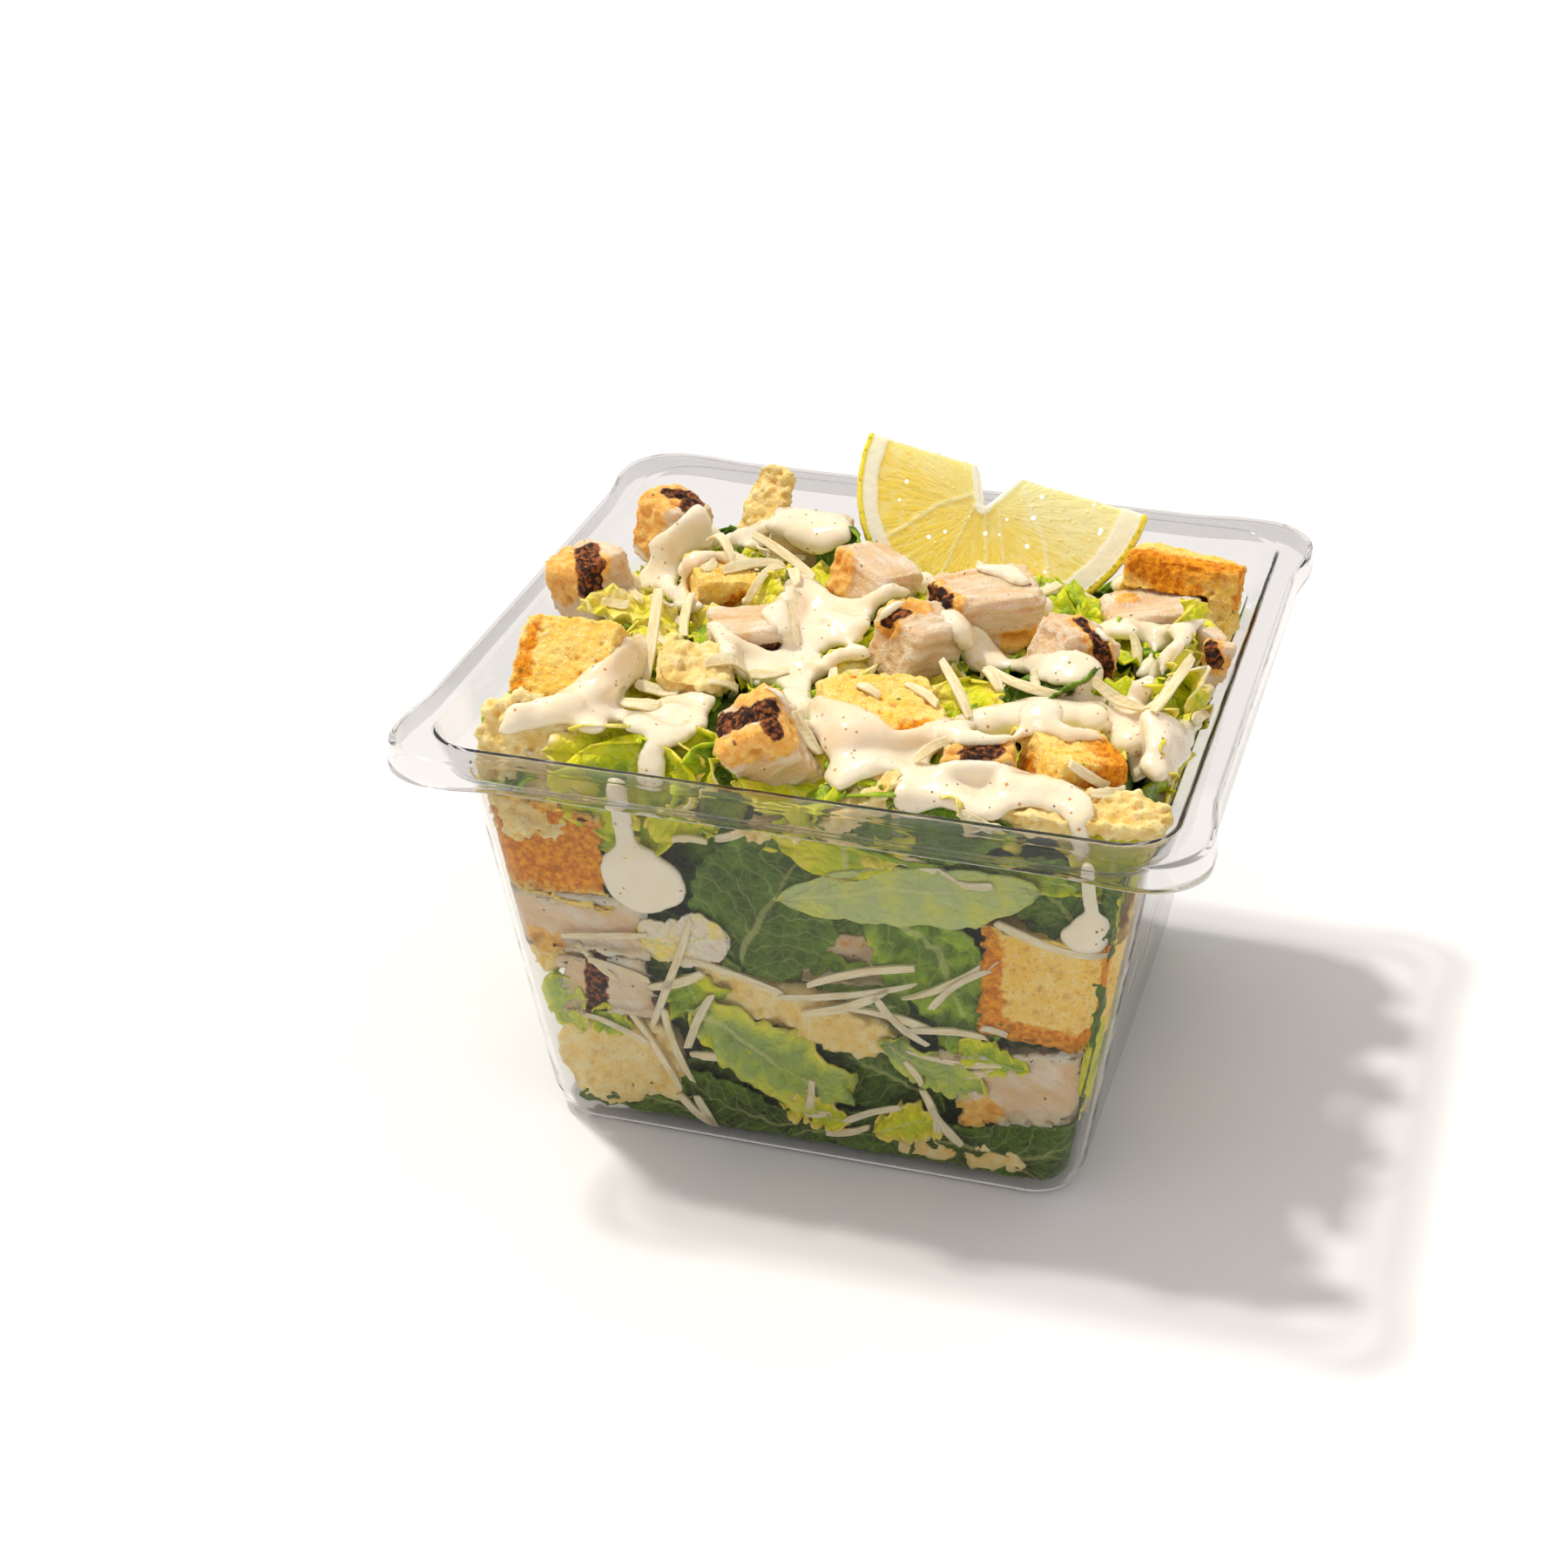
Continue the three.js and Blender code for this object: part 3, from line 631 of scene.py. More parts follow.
crisp_stuff, tree, shader = new_material(
    "baked cheese", Specular_IOR_Level=0.25, Subsurface_Weight=0.25,
    Subsurface_Radius=(1.0, 0.75, 0.35), Subsurface_Scale=0.002)
grain = from_mesh(tree, "grain", "Vector")
clouds = use(tree, blotch, Where=grain, Size=3.2, Low=0.38, High=0.66)["Share"]
fine = use(tree, pores, Where=grain, Size=0.8)
cheese = blend(tree, clouds, *BAKED)
# Painted light on the tops of the bumps, painted shade in the pores and in the hollows of the relief.
cheese = lay_over(tree, cheese, BUMP_PAINTED_LIGHT, step_between(tree, fine["Grain"], 0.5, 0.72), 0.7)
cheese = lay_over(tree, cheese, PORE_PAINTED_SHADE, fine["Hollow"], 0.25)
cheese = lay_over(tree, cheese, CRISP_HOLLOW_PAINTED_SHADE, from_mesh(tree, "painted_shade_share"), 0.55)
depth = times_plus(tree, fine["Hollow"], -0.5, fine["Grain"])
wire(tree, shader, Base_Color=cheese, Roughness=times_plus(tree, fine["Grain"], 0.3, 0.38),
     Normal=bump(tree, depth, 0.6, 0.0005))
print("crisp finish ready")

# %% [markdown]
# ## The toppings
#
# Each topping is cut out of the frame's own solid, so it stays where it stands. Its turn gives the
# direction of its fibres. Stripes are painted along lines of the picture: a ray through each spot
# finds the place on the piece itself.

# %% Turns of the toppings
TURNS = {
    "chicken_1": (-6, 8, -30), "chicken_2": (8, -8, -28), "chicken_3": (8, -6, 14), "chicken_4": (4, 8, 12),
    "chicken_5": (-10, 14, -32), "chicken_6": (6, 0, 34), "chicken_7": (14, 10, 56), "chicken_8": (0, 24, 35),
    "chicken_9": (4, -4, 18), "chicken_10": (18, -34, 6), "chicken_11": (6, 4, 14), "chicken_12": (0, 12, 30),
    "crouton_1": (44, -4, -3), "crouton_2": (6, 8, 34), "crouton_3": (8, 4, 30), "crouton_4": (-12, 4, -6),
    "crouton_5": (6, 12, 40), "crisp_1": (74, 0, 2), "crisp_2": (60, 0, -30), "crisp_3": (24, 6, 8),
    "crisp_4": (24, -24, 14), "crisp_5": (20, 0, 6), "crisp_6": (24, -20, 30),
}
# Radius in millimetres, and the spots of the picture that the stripe runs through.
CHAR_LINES = {
    "chicken_1": [(2.9, [(773, 568), (795, 572), (792, 584)])],
    "chicken_2": [(2.9, [(674, 630), (678, 655), (678, 682)])],
    "chicken_3": [(1.7, [(882, 746), (893, 745)])],
    "chicken_6": [(2.4, [(1070, 684), (1085, 692)])],
    "chicken_7": [(1.8, [(1000, 722), (1020, 712), (1036, 704)]), (1.4, [(1046, 691), (1054, 690)])],
    "chicken_8": [(2.0, [(1240, 716), (1256, 733), (1266, 755), (1271, 780)])],
    "chicken_10": [(3.0, [(825, 834), (850, 826), (880, 816)]), (2.0, [(884, 826), (890, 838)])],
    "chicken_11": [(2.6, [(1115, 866), (1140, 862)])],
    "chicken_12": [(1.5, [(1390, 742), (1396, 760)])],
}
SEARED_LINES = {
    "chicken_1": [(6.5, [(750, 575), (740, 605), (775, 570)])],
    "chicken_2": [(6.0, [(650, 640), (640, 670), (676, 650)])],
    "chicken_5": [(5.0, [(965, 650), (960, 668)])],
    "chicken_6": [(3.6, [(1072, 684), (1090, 694)]), (3.0, [(1160, 735), (1190, 728)])],
    "chicken_7": [(4.0, [(995, 735), (1020, 715), (1050, 695)])],
    "chicken_8": [(3.6, [(1240, 716), (1258, 735), (1271, 780)])],
    "chicken_9": [(2.0, [(1290, 690), (1300, 686)])],
    "chicken_10": [(6.0, [(830, 812), (870, 800)]), (4.5, [(840, 858), (890, 852), (905, 835)])],
    "chicken_11": [(4.0, [(1100, 868), (1148, 862)])],
    "chicken_12": [(3.0, [(1390, 745), (1398, 765)])],
}
CRUST_LINES = {
    "crouton_1": [(2.6, [(613, 722), (601, 764), (595, 796)]), (3.6, [(735, 735), (722, 760)])],
    "crouton_2": [(2.2, [(832, 696), (850, 684)])],
    "crouton_3": [(3.4, [(1088, 822), (1062, 832), (1036, 842)]), (1.5, [(925, 792), (980, 778)])],
    "crouton_4": [(6.5, [(1310, 645), (1400, 650), (1425, 668)]), (5.0, [(1330, 665), (1420, 690)])],
    "crouton_5": [(7.0, [(1275, 862), (1290, 885), (1262, 902)]), (4.5, [(1180, 882), (1250, 845)])],
}


def spots_on(tree, pixels):
    """The places, in millimetres, where rays through the picture's pixels meet a piece."""
    found = [tree.ray_cast(eye, sight(*pixel))[0] for pixel in pixels]
    return [place for place in found if place is not None]


def paint(co, strokes, ragged_by, core):
    """1 on the lines, falling to 0 at their radius, with an uneven edge. Core is the full part."""
    value = np.zeros(len(co))
    for radius, line in strokes:
        if line:
            away = near_line(co, line) + ragged_by * wobble(co, 1.6)
            value = np.maximum(value, 1 - smooth_step(core * radius, radius, away))
    return value


def painted(made, lines, ragged_by, core):
    tree = tree_of(made)
    strokes = [(radius, spots_on(tree, line)) for radius, line in lines]
    return paint(points_of(made), strokes, ragged_by, core)


def write_grain(made, turn):
    """The points in the piece's own directions, in millimetres, for patterns that follow it."""
    own = points_of(made) @ np.array(turned(*turn).to_3x3())
    write_values(made, "grain", own)
    return own


def copy_of(node, name, voxel):
    bm = bmesh.new()
    bm.from_mesh(nodes[node].data)
    bmesh.ops.remove_doubles(bm, verts=bm.verts, dist=1e-6)
    return remesh(as_object(name, bm, in_mm=False), voxel)


def sharpen(made, amount=1.6, rounds=24):
    """Moves each point away from where smoothing would bring it, so that edges come out crisp."""
    before = points_of(made)
    softer = made.modifiers.new("softer", "SMOOTH")
    softer.iterations = rounds
    bake_modifiers(made)
    move_points(made, before + (before - points_of(made)) * amount)


print("brushes ready")

# %% Relief of the three foods


def roughen_chicken(made, turn, torn=1.7):
    """Torn, in millimetres, is how deep the meat is torn along its fibres."""
    sharpen(made)
    own = write_grain(made, turn)
    charred = read_values(made, "charred")
    seared = read_values(made, "seared")
    fibres = wobble(own * (0.2, 1.0, 1.0), 1.1)
    lumps = 0.42 - cells(own * (0.55, 1.0, 1.0) + 1.2 * wobble(own, 4.0)[:, None], 5.0, 3)
    tears = np.clip(wobble(own * (0.16, 1.0, 1.0), 2.4, 8) - 0.22, 0, 1)
    folds = 0.5 - np.abs(wobble(own, 3.2, 6))
    pits = np.clip(0.55 - cells(own, 1.2), 0, 1)
    rise = (0.9 * lumps + 0.3 * fibres - torn * tears * (1 - seared) + 1.5 * seared * folds
            - (0.1 + charred + 0.25 * seared) * pits * 0.6)
    # The low parts of the relief are written down for painted shade in the finish.
    write_values(made, "painted_shade_share", 1 - smooth_step(-0.4, 0.25, rise))
    push(made, rise)


def roughen_bread(made, turn, apart=3.3, reach=0.24):
    """Apart, in millimetres, and reach, as a share of it, say how holed the crumb is."""
    sharpen(made)
    own = write_grain(made, turn)
    crumbs = 0.5 - cells(own, 1.0)
    holes = np.clip(reach - cells(own, apart, 5), 0, 1) * 1.6
    # The holes are written down for painted shade in the finish.
    write_values(made, "painted_shade_share", np.clip(holes * 4, 0, 1))
    push(made, 0.55 * crumbs + 0.4 * wobble(own, 4.5) + 0.35 * wobble(own, 1.6, 4) - 2.4 * holes)


def roughen_crisp(made, turn):
    own = write_grain(made, turn)
    bubbles = np.clip(0.62 - cells(own, 2.3), 0, 1) + 0.6 * np.clip(0.5 - cells(own, 1.2, 3), 0, 1)
    holes = np.clip(0.32 - cells(own, 2.9, 9), 0, 1)
    rise = 1.7 * bubbles - 0.3 + 0.3 * wobble(own, 0.9) + 0.8 * wobble(own, 3.6, 2) - 3.2 * holes
    # The holes and the low parts of the relief are written down for painted shade in the finish.
    low = 0.7 * (1 - smooth_step(-0.5, 0.2, rise))
    write_values(made, "painted_shade_share", np.maximum(np.clip(holes * 6, 0, 1), low))
    push(made, rise)


FINISHES = {
    "chicken": (chicken_stuff, "roast_chicken", roughen_chicken),
    "crouton": (bread_stuff, "toasted_bread", roughen_bread),
    "crisp": (crisp_stuff, "baked_cheese", roughen_crisp),
}
print("foods:", list(FINISHES))

# %% Toppings
TOPPING_VOXEL = 0.46
BRUSHES = {  # for each attribute: the lines, how ragged in millimetres, and the full part
    "chicken": {"charred": (CHAR_LINES, 0.5, 0.55), "seared": (SEARED_LINES, 1.0, 0.55)},
    "crouton": {"crust": (CRUST_LINES, 1.2, 0.1)},
    "crisp": {},
}

toppings = {}
for node, turn in TURNS.items():
    kind = node.split("_")[0]
    stuff, slot, roughen = FINISHES[kind]
    piece = copy_of(node, node.replace("_", "_piece_"), TOPPING_VOXEL)
    for name, (lines, ragged_by, core) in BRUSHES[kind].items():
        write_values(piece, name, painted(piece, lines.get(node, []), ragged_by, core))
    roughen(piece, turn)
    toppings[node] = finish(piece, stuff, slot, node)

# %% [markdown]
# ## The clear tub
#
# A tub like this is one sheet of plastic, so its section is one line: up the outside from the
# raised middle of the base, over the rim, and down the inside. A ring of points with round corners
# is extruded from station to station of that line, and each new ring is set to its own size. The
# sharp bends are then bevelled, which is what catches the light on a real tub.

# %% Tub shape
CORNER_STEPS = 12
SIDE_SPOTS = (-0.93, -0.86, -0.79, -0.7, -0.35, 0.0, 0.35, 0.7, 0.79, 0.86, 0.93)
EAR_START = 13.0
EAR_FULL = 3.0
BEND_RADIUS = 0.45
# Half width, corner radius, height and ear of each ring, along the outside and back down within.
OUTER_LINE = [
    (FOOT_HALF - 6.5, 7, 1.2, 0), (FOOT_HALF - 5, 8, 0, 0), (FOOT_HALF - 1.6, 8.5, 0, 0),
    (FOOT_HALF - 0.6, 8.5, 1, 0), (wall_half(5.2), 9, 5.2, 0), (wall_half(40), 9.3, 40, 0),
    (WALL_HALF, 9.5, LEDGE_Z, 0), (WALL_HALF + 3, 10, LEDGE_Z + 1.8, 0),
]
RIM_LINE = [
    (RIM_HALF - 4.7, 10, RIM_TOP - SHEET, 0), (RIM_HALF - 1, RIM_CORNER, RIM_TOP - SHEET, RIM_EAR),
    (RIM_HALF - 0.9, RIM_CORNER, RIM_TOP - SKIRT + 0.6, RIM_EAR),
    (RIM_HALF + 0.3, RIM_CORNER, RIM_TOP - SKIRT, RIM_EAR), (RIM_HALF, RIM_CORNER, RIM_TOP - 0.5, RIM_EAR),
    (RIM_HALF - 0.5, RIM_CORNER, RIM_TOP, RIM_EAR), (RIM_HALF - 5, 9.5, RIM_TOP, 0),
    (RIM_HALF - 5.6, 9.5, RIM_TOP - 0.6, 0),
]
INNER_LINE = [
    (WALL_HALF + 2.4, 9.3, LEDGE_Z + 2.3, 0), (inner_half(LEDGE_Z) + 0.2, 8.8, LEDGE_Z + 0.3, 0),
    (inner_half(40), 8.6, 40, 0), (inner_half(5.2), 8.3, 5.7, 0), (FOOT_HALF - 1.5, 7.8, 1.2, 0),
    (FOOT_HALF - 2.2, 7.6, SHEET, 0), (FOOT_HALF - 4.6, 7.4, SHEET, 0), (FOOT_HALF - 6.2, 6.5, 2, 0),
]


def square_ring(half, corner, z, ear):
    """The points of a square with round corners that stand out by ear."""
    reach = half + ear - corner
    side = []
    for share in SIDE_SPOTS:
        out = ear * float(smooth_step(reach - EAR_START, reach - EAR_FULL, abs(share) * reach))
        side.append(Vector((half + out, share * reach, z)))
    for i in range(CORNER_STEPS + 1):
        angle = math.pi / 2 * i / CORNER_STEPS
        side.append(Vector((reach + corner * math.cos(angle), reach + corner * math.sin(angle), z)))
    return [Matrix.Rotation(turn * math.pi / 2, 3, "Z") @ spot for turn in range(4) for spot in side]


def set_ring(bm, ring, station):
    """Sets a ring of points to its station, and gives the edges between them."""
    for vert, spot in zip(ring, square_ring(*station)):
        vert.co = spot
    return [bm.edges.get(pair) for pair in zip(ring, ring[1:] + ring[:1])]


first, *others = OUTER_LINE + RIM_LINE + INNER_LINE
bm = bmesh.new()
ring = bmesh.ops.create_circle(bm, segments=len(square_ring(*first)), radius=1)["verts"]
bmesh.ops.contextual_create(bm, geom=ring)
edges = set_ring(bm, ring, first)
for station in others:
    grown = set(bmesh.ops.extrude_edge_only(bm, edges=edges)["geom"])
    ring = [next(e.other_vert(v) for e in v.link_edges if e.other_vert(v) in grown) for v in ring]
    edges = set_ring(bm, ring, station)
bmesh.ops.contextual_create(bm, geom=ring)
bmesh.ops.recalc_face_normals(bm, faces=bm.faces)
print("tub volume", round(bm.calc_volume() / 1000, 1), "cm3")
tub = as_object("clear_tub", bm)
rounding = tub.modifiers.new("rounded bends", "BEVEL")
rounding.width = BEND_RADIUS * MM
rounding.segments = 3
rounding.limit_method = "ANGLE"
rounding.angle_limit = math.radians(24)
bake_modifiers(tub)

# %% [markdown]
# ## Clear plastic
#
# Thin clear plastic bends light a little, mirrors the room at a slant, and lets most light through
# to the food. The shader is plain glass with faint waves from the moulding, tinted a little at the
# sides and more at the rim. Its mirrored veil is kept for the rim and for a misty round on the
# front, because a veil on every wall would take the colour out of the food.
#
# Light for shadows and soft bounces goes straight through instead, dimmed a little and more so at a
# slant, and so does light that has already passed many walls. That keeps the food bright.

# %% Plastic finish
WALL_TINT = ((0.86, 0.865, 0.85), (0.95, 0.945, 0.93))    # the other walls, and the front
RIM_TINT = ((0.76, 0.76, 0.765), (0.84, 0.84, 0.84))
# What soft light and shadows keep of their light, met square and at a slant.
SOFT_LIGHT = ((0.95, 0.955, 0.96), (0.52, 0.53, 0.54))
WALL_SHADE = ((0.92, 0.92, 0.92), (0.5, 0.5, 0.5))
RIM_SHADE = ((0.9, 0.9, 0.9), (0.15, 0.15, 0.15))
MIST_MIDDLE = (-8.0, -57.0, 52.0)
MANY_WALLS = 5.5       # bounces after which light goes straight on

plastic, tree, shader = new_material("clear plastic", Transmission_Weight=1.0, IOR=1.25)
where = millimetres(tree)
place = put(tree, "ShaderNodeSeparateXYZ", i0=where).outputs
on_rim = step_between(tree, place[2], 58.0, 80.0)
on_front = step_between(tree, place[1], -40.0, -48.0)
tint = blend(tree, on_rim, blend(tree, on_front, *WALL_TINT), blend(tree, on_front, *RIM_TINT))
off_middle = put(tree, "ShaderNodeVectorMath", {"operation": "DISTANCE"}, i0=where, i1=MIST_MIDDLE)
mist = times(tree, step_between(tree, off_middle.outputs["Value"], 48.0, 14.0), on_front)
mist = calc(tree, "MAXIMUM", mist, step_between(tree, place[2], 70.0, 78.0))
waves = noise_of(tree, where, 0.09, 2.0)
dust = use(tree, specks, Where=where, Spacing=4.5, Radius=0.05, Kept=0.4)["Mask"]
relief = bump(tree, times_plus(tree, dust, 0.2, waves), 0.35, 0.0004)
wire(tree, shader, Base_Color=tint, Specular_IOR_Level=times_plus(tree, mist, 0.42, 0.1),
     Roughness=times_plus(tree, waves, 0.03, 0.025), Normal=relief)

path = put(tree, "ShaderNodeLightPath").outputs
slant = put(tree, "ShaderNodeLayerWeight", Blend=0.3).outputs["Facing"]
shade = blend(tree, on_rim, blend(tree, slant, *WALL_SHADE), blend(tree, slant, *RIM_SHADE))
passed = blend(tree, path["Is Shadow Ray"], blend(tree, slant, *SOFT_LIGHT), shade)
through = put(tree, "ShaderNodeBsdfTransparent", Color=passed).outputs[0]
straight = calc(tree, "MAXIMUM", path["Is Shadow Ray"], path["Is Diffuse Ray"])
straight = calc(tree, "MAXIMUM", straight, calc(tree, "GREATER_THAN", path["Ray Depth"], MANY_WALLS))
both = put(tree, "ShaderNodeMixShader", i0=straight, i1=shader.outputs[0], i2=through).outputs[0]
tree.links.new(both, tree.nodes["Material Output"].inputs["Surface"])
finish(tub, plastic, "tub_plastic", "tub")

# %% [markdown]
# ## Lettuce
#
# Cut romaine runs from a yellow heart to dark green outer leaves, all with a pale rib, side veins
# and a fine net between them that puffs up in blisters. One finish does them all: each leaf
# carries a tone from 0 (heart) to 1 (dark), and its own flat places for the veins.

# %% Lettuce finish
TONES = [  # from the heart of the head to its outer leaves
    (0.0, (0.86, 0.78, 0.58)), (0.14, (0.95, 0.75, 0.14)), (0.3, (0.78, 0.75, 0.015)),
    (0.42, (0.58, 0.64, 0.004)), (0.56, (0.26, 0.41, 0.014)), (0.7, (0.10, 0.20, 0.006)),
    (1.0, (0.028, 0.062, 0.001)),
]
PALE_RIB = (0.66, 0.68, 0.26)
# A painted haze, standing for the misty veil of the front wall over the leaves behind it.
PAINTED_HAZE_COLOUR = (0.62, 0.68, 0.36)


def ramp(tree, value, stops):
    made = put(tree, "ShaderNodeValToRGB", i0=value)
    steps = made.color_ramp.elements
    for place, colour in stops[1:-1]:
        steps.new(place).color = (*colour, 1)
    steps[0].color = (*stops[0][1], 1)
    steps[-1].color = (*stops[-1][1], 1)
    return made.outputs[0]


lettuce_stuff, tree, shader = new_material(
    "lettuce", Specular_IOR_Level=0.18, Subsurface_Weight=0.3, Subsurface_Radius=(0.7, 1.0, 0.08),
    Subsurface_Scale=0.0016)
grain = from_mesh(tree, "grain", "Vector")
tone = from_mesh(tree, "tone")
painted_haze = from_mesh(tree, "painted_haze")
flat = put(tree, "ShaderNodeUVMap", {"uv_map": "leaf"}).outputs[0]
sideways, along, _ = put(tree, "ShaderNodeSeparateXYZ", i0=flat).outputs
patch = use(tree, blotch, Where=grain, Size=5.0, Low=0.3, High=0.7)["Share"]

# The rib, and side veins that leave it at a slant and stray a little.
sway = noise_of(tree, grain, 0.06, 1.0)
across = times_plus(tree, sideways, 2.0, times_plus(tree, sway, 0.9, -1.45))
across = calc(tree, "ABSOLUTE", across)
rib_edge = times_plus(tree, along, -0.085, 0.1)
rib = step_between(tree, calc(tree, "DIVIDE", across, rib_edge), 1.3, 0.5)
wave = times_plus(tree, along, 6.5, times(tree, across, -1.7))
wave = times_plus(tree, noise_of(tree, grain, 0.16, 2.0), 1.6, wave)
from_vein = calc(tree, "ABSOLUTE", calc(tree, "SUBTRACT", calc(tree, "FRACT", wave), 0.5))
net = walls_of(tree, grain, 0.42)
fine_net = walls_of(tree, grain, 1.25)
veins = times(tree, step_between(tree, from_vein, 0.075, 0.02), 0.75)
for lines, strength in ((step_between(tree, net, 0.085, 0.02), 0.38),
                        (step_between(tree, fine_net, 0.1, 0.02), 0.16)):
    veins = calc(tree, "MAXIMUM", veins, times(tree, lines, strength))

green = ramp(tree, calc(tree, "ADD", tone, times_plus(tree, patch, 0.22, -0.11)), TONES)
# Painted haze over the leaves that lie behind the front wall.
green = lay_over(tree, green, PAINTED_HAZE_COLOUR, painted_haze, times_plus(tree, patch, 0.5, 0.6))
green = lay_over(tree, green, PALE_RIB, veins, 0.32)
rib_share = times(tree, rib, times_plus(tree, along, -0.5, 0.95))
green = lay_over(tree, green, PALE_RIB, rib_share, times_plus(tree, tone, -0.65, 1.0))

puff = 0.0
for from_line, widest, height in ((net, 0.3, 2.2), (from_vein, 0.25, 1.5), (fine_net, 0.2, 0.5)):
    puff = times_plus(tree, calc(tree, "MINIMUM", from_line, widest), height, puff)
wire(tree, shader, Base_Color=green, Roughness=times_plus(tree, patch, 0.12, 0.33),
     Normal=bump(tree, puff, 0.7, 0.0008))
print("lettuce finish ready")

# %% [markdown]
# ## The shape of a leaf
#
# A leaf starts as a flat grid. The grid is drawn in to the leaf's outline, bent along and across,
# ruffled at its edge, and raised along its rib. Leaves that lie against the tub are pressed flat,
# as the plastic presses them. Solidify gives them all their thickness at the end.

# %% Leaf shape


def start_leaves():
    bm = bmesh.new()
    bm.loops.layers.uv.new("leaf")
    bm.verts.layers.float.new("tone")
    bm.verts.layers.float.new("painted_haze")
    bm.verts.layers.float_vector.new("grain")
    return bm


def noise_at(x, y, z):
    return noise.noise(Vector((x, y, z)))


def add_leaf(bm, place, width, length, tone, seed, cup=0.1, arch=0.1, ruffle=1.0, blister=0.7,
             rib=0.5, point=3.2, waist=0.62, bend=0.12, painted_haze=0.0, steps=(14, 22)):
    """One leaf: X across, Y from base to tip, Z its face."""
    tones = bm.verts.layers.float["tone"]
    painted_hazes = bm.verts.layers.float["painted_haze"]
    grains = bm.verts.layers.float_vector["grain"]
    bend *= math.sin(seed * 5.1)
    grid = bmesh.ops.create_grid(bm, x_segments=steps[0], y_segments=steps[1], size=1, calc_uvs=True)
    for vert in grid["verts"]:
        u, w = vert.co.xy
        side = Vector((1.6 * w, math.copysign(3.0, u), seed))
        full = max(0.0, 1 - abs(w) ** point) ** 0.5
        full *= waist + (1 - waist) * float(smooth_step(-1.0, 0.1, w))
        full *= 1 + 0.3 * noise.noise(side) + 0.16 * noise.noise(side * 3) + 0.09 * noise.noise(side * 8)
        from_rib = u * full * width / 2
        x = from_rib + bend * length * (w * w - 0.4)
        y = w * length / 2 * (1 + 0.16 * noise_at(u * 2.2, seed, 9.0))
        edge = abs(u) ** 2.2
        frill = 2.2 * noise_at(w * 2.4 + seed, u, 1.0) + 1.3 * noise_at(w * 6 + seed, u, 4.0)
        puff = 0.35 - 1.6 * abs(noise_at(x / 4.2, y / 3.2, seed * 2.0))
        puff += 0.4 * noise_at(x / 1.7, y / 1.7, seed)
        lift = ruffle * edge * frill + blister * puff
        lift += cup * width * (u * u - 0.3) - arch * length * (w * w - 0.3)
        lift += rib * math.exp(-(from_rib / 1.2) ** 2) * (1.1 - w) / 2
        vert[tones] = tone - 0.1 * edge * ruffle * (tone > 0.2)
        vert[painted_hazes] = painted_haze
        vert[grains] = Vector((x + seed * 31, y, seed * 17))
        vert.co = place @ Vector((x, y, lift))


print("leaves can be added")

# %% The room inside the tub
# Heights, and half the width of the room for food at each; then its corner and its floor.
WALL_ROOM = ([2.0, 5.7, 75.8, 77.8, 84.5, 200.0], [48.0, 49.7, 59.5, 62.6, 63.9, 63.9])
ROOM_CORNER = 8.0
ROOM_FLOOR = 2.3
FAR_IN = 30            # beyond this many times the softness a point isn't moved
LEAF_THICK = 0.42


def press_into_tub(made, gap=0.0, softness=0.0):
    """Presses points back inside the tub; softness, in millimetres, keeps some of their relief."""
    co = points_of(made)
    limit = (np.interp(co[:, 2], *WALL_ROOM) - gap)[:, None]
    flat = co[:, :2].clip(-limit, limit)
    if softness:
        room = limit - np.abs(co[:, :2])
        near = np.logaddexp(0, np.clip(room / softness, -FAR_IN, FAR_IN)) * softness
        flat = np.sign(co[:, :2]) * (limit - near - np.maximum(room - FAR_IN * softness, 0))
    inner = limit - ROOM_CORNER
    over = np.abs(flat) - inner
    in_corner = (over > 0).all(axis=1, keepdims=True)
    length = np.linalg.norm(over, axis=1, keepdims=True)
    shrink = np.minimum(ROOM_CORNER / np.maximum(length, 1e-6), 1.0)
    flat = np.where(in_corner, np.sign(flat) * (inner + over * shrink), flat)
    move_points(made, np.column_stack([flat, np.maximum(co[:, 2], ROOM_FLOOR)]))


def finish_leaves(name, bm):
    made = as_object(name, bm)
    press_into_tub(made, 0.3, 0.7)
    thick = made.modifiers.new("thickness", "SOLIDIFY")
    thick.thickness = LEAF_THICK * MM
    thick.offset = 0.0
    bake_modifiers(made)
    return finish(made, lettuce_stuff, "salad_greens")


print("room between the walls at the ledge", 2 * WALL_ROOM[1][2], "mm")


# %% [markdown]
# ## The heart of the heap
#
# Between the leaves one sees more leaves. A crumpled block a little smaller than the inside of the
# tub stands for all that is buried, so that no gap shows daylight.

# %% Heap core
HEAP_TOP = 81.0
BACK_DROP = 14.0       # how much lower the heap is at the back wall
LEFT_DROP = 6.0        # and along the left wall, behind
SIDE_DROP = 2.0
CORE_UNDER = 2.0       # how far the core lies under the heap's height
CORE_HALF = 53.0
CORE_INSET = 6.5
CORE_FLOOR = 3.0
CORE_CUTS = 40
FOLD_DEPTH = 3.2


def heap_height(x, y):
    """Full in front, falling to the back wall, lower along the left behind."""
    back_share = float(smooth_step(20, 58, y))
    left_share = float(smooth_step(46, 60, -x) * smooth_step(-30, 20, y))
    side_share = float(smooth_step(30, 62, abs(x)))
    return (HEAP_TOP - BACK_DROP * back_share - LEFT_DROP * left_share * (1 - back_share)
            - SIDE_DROP * side_share)


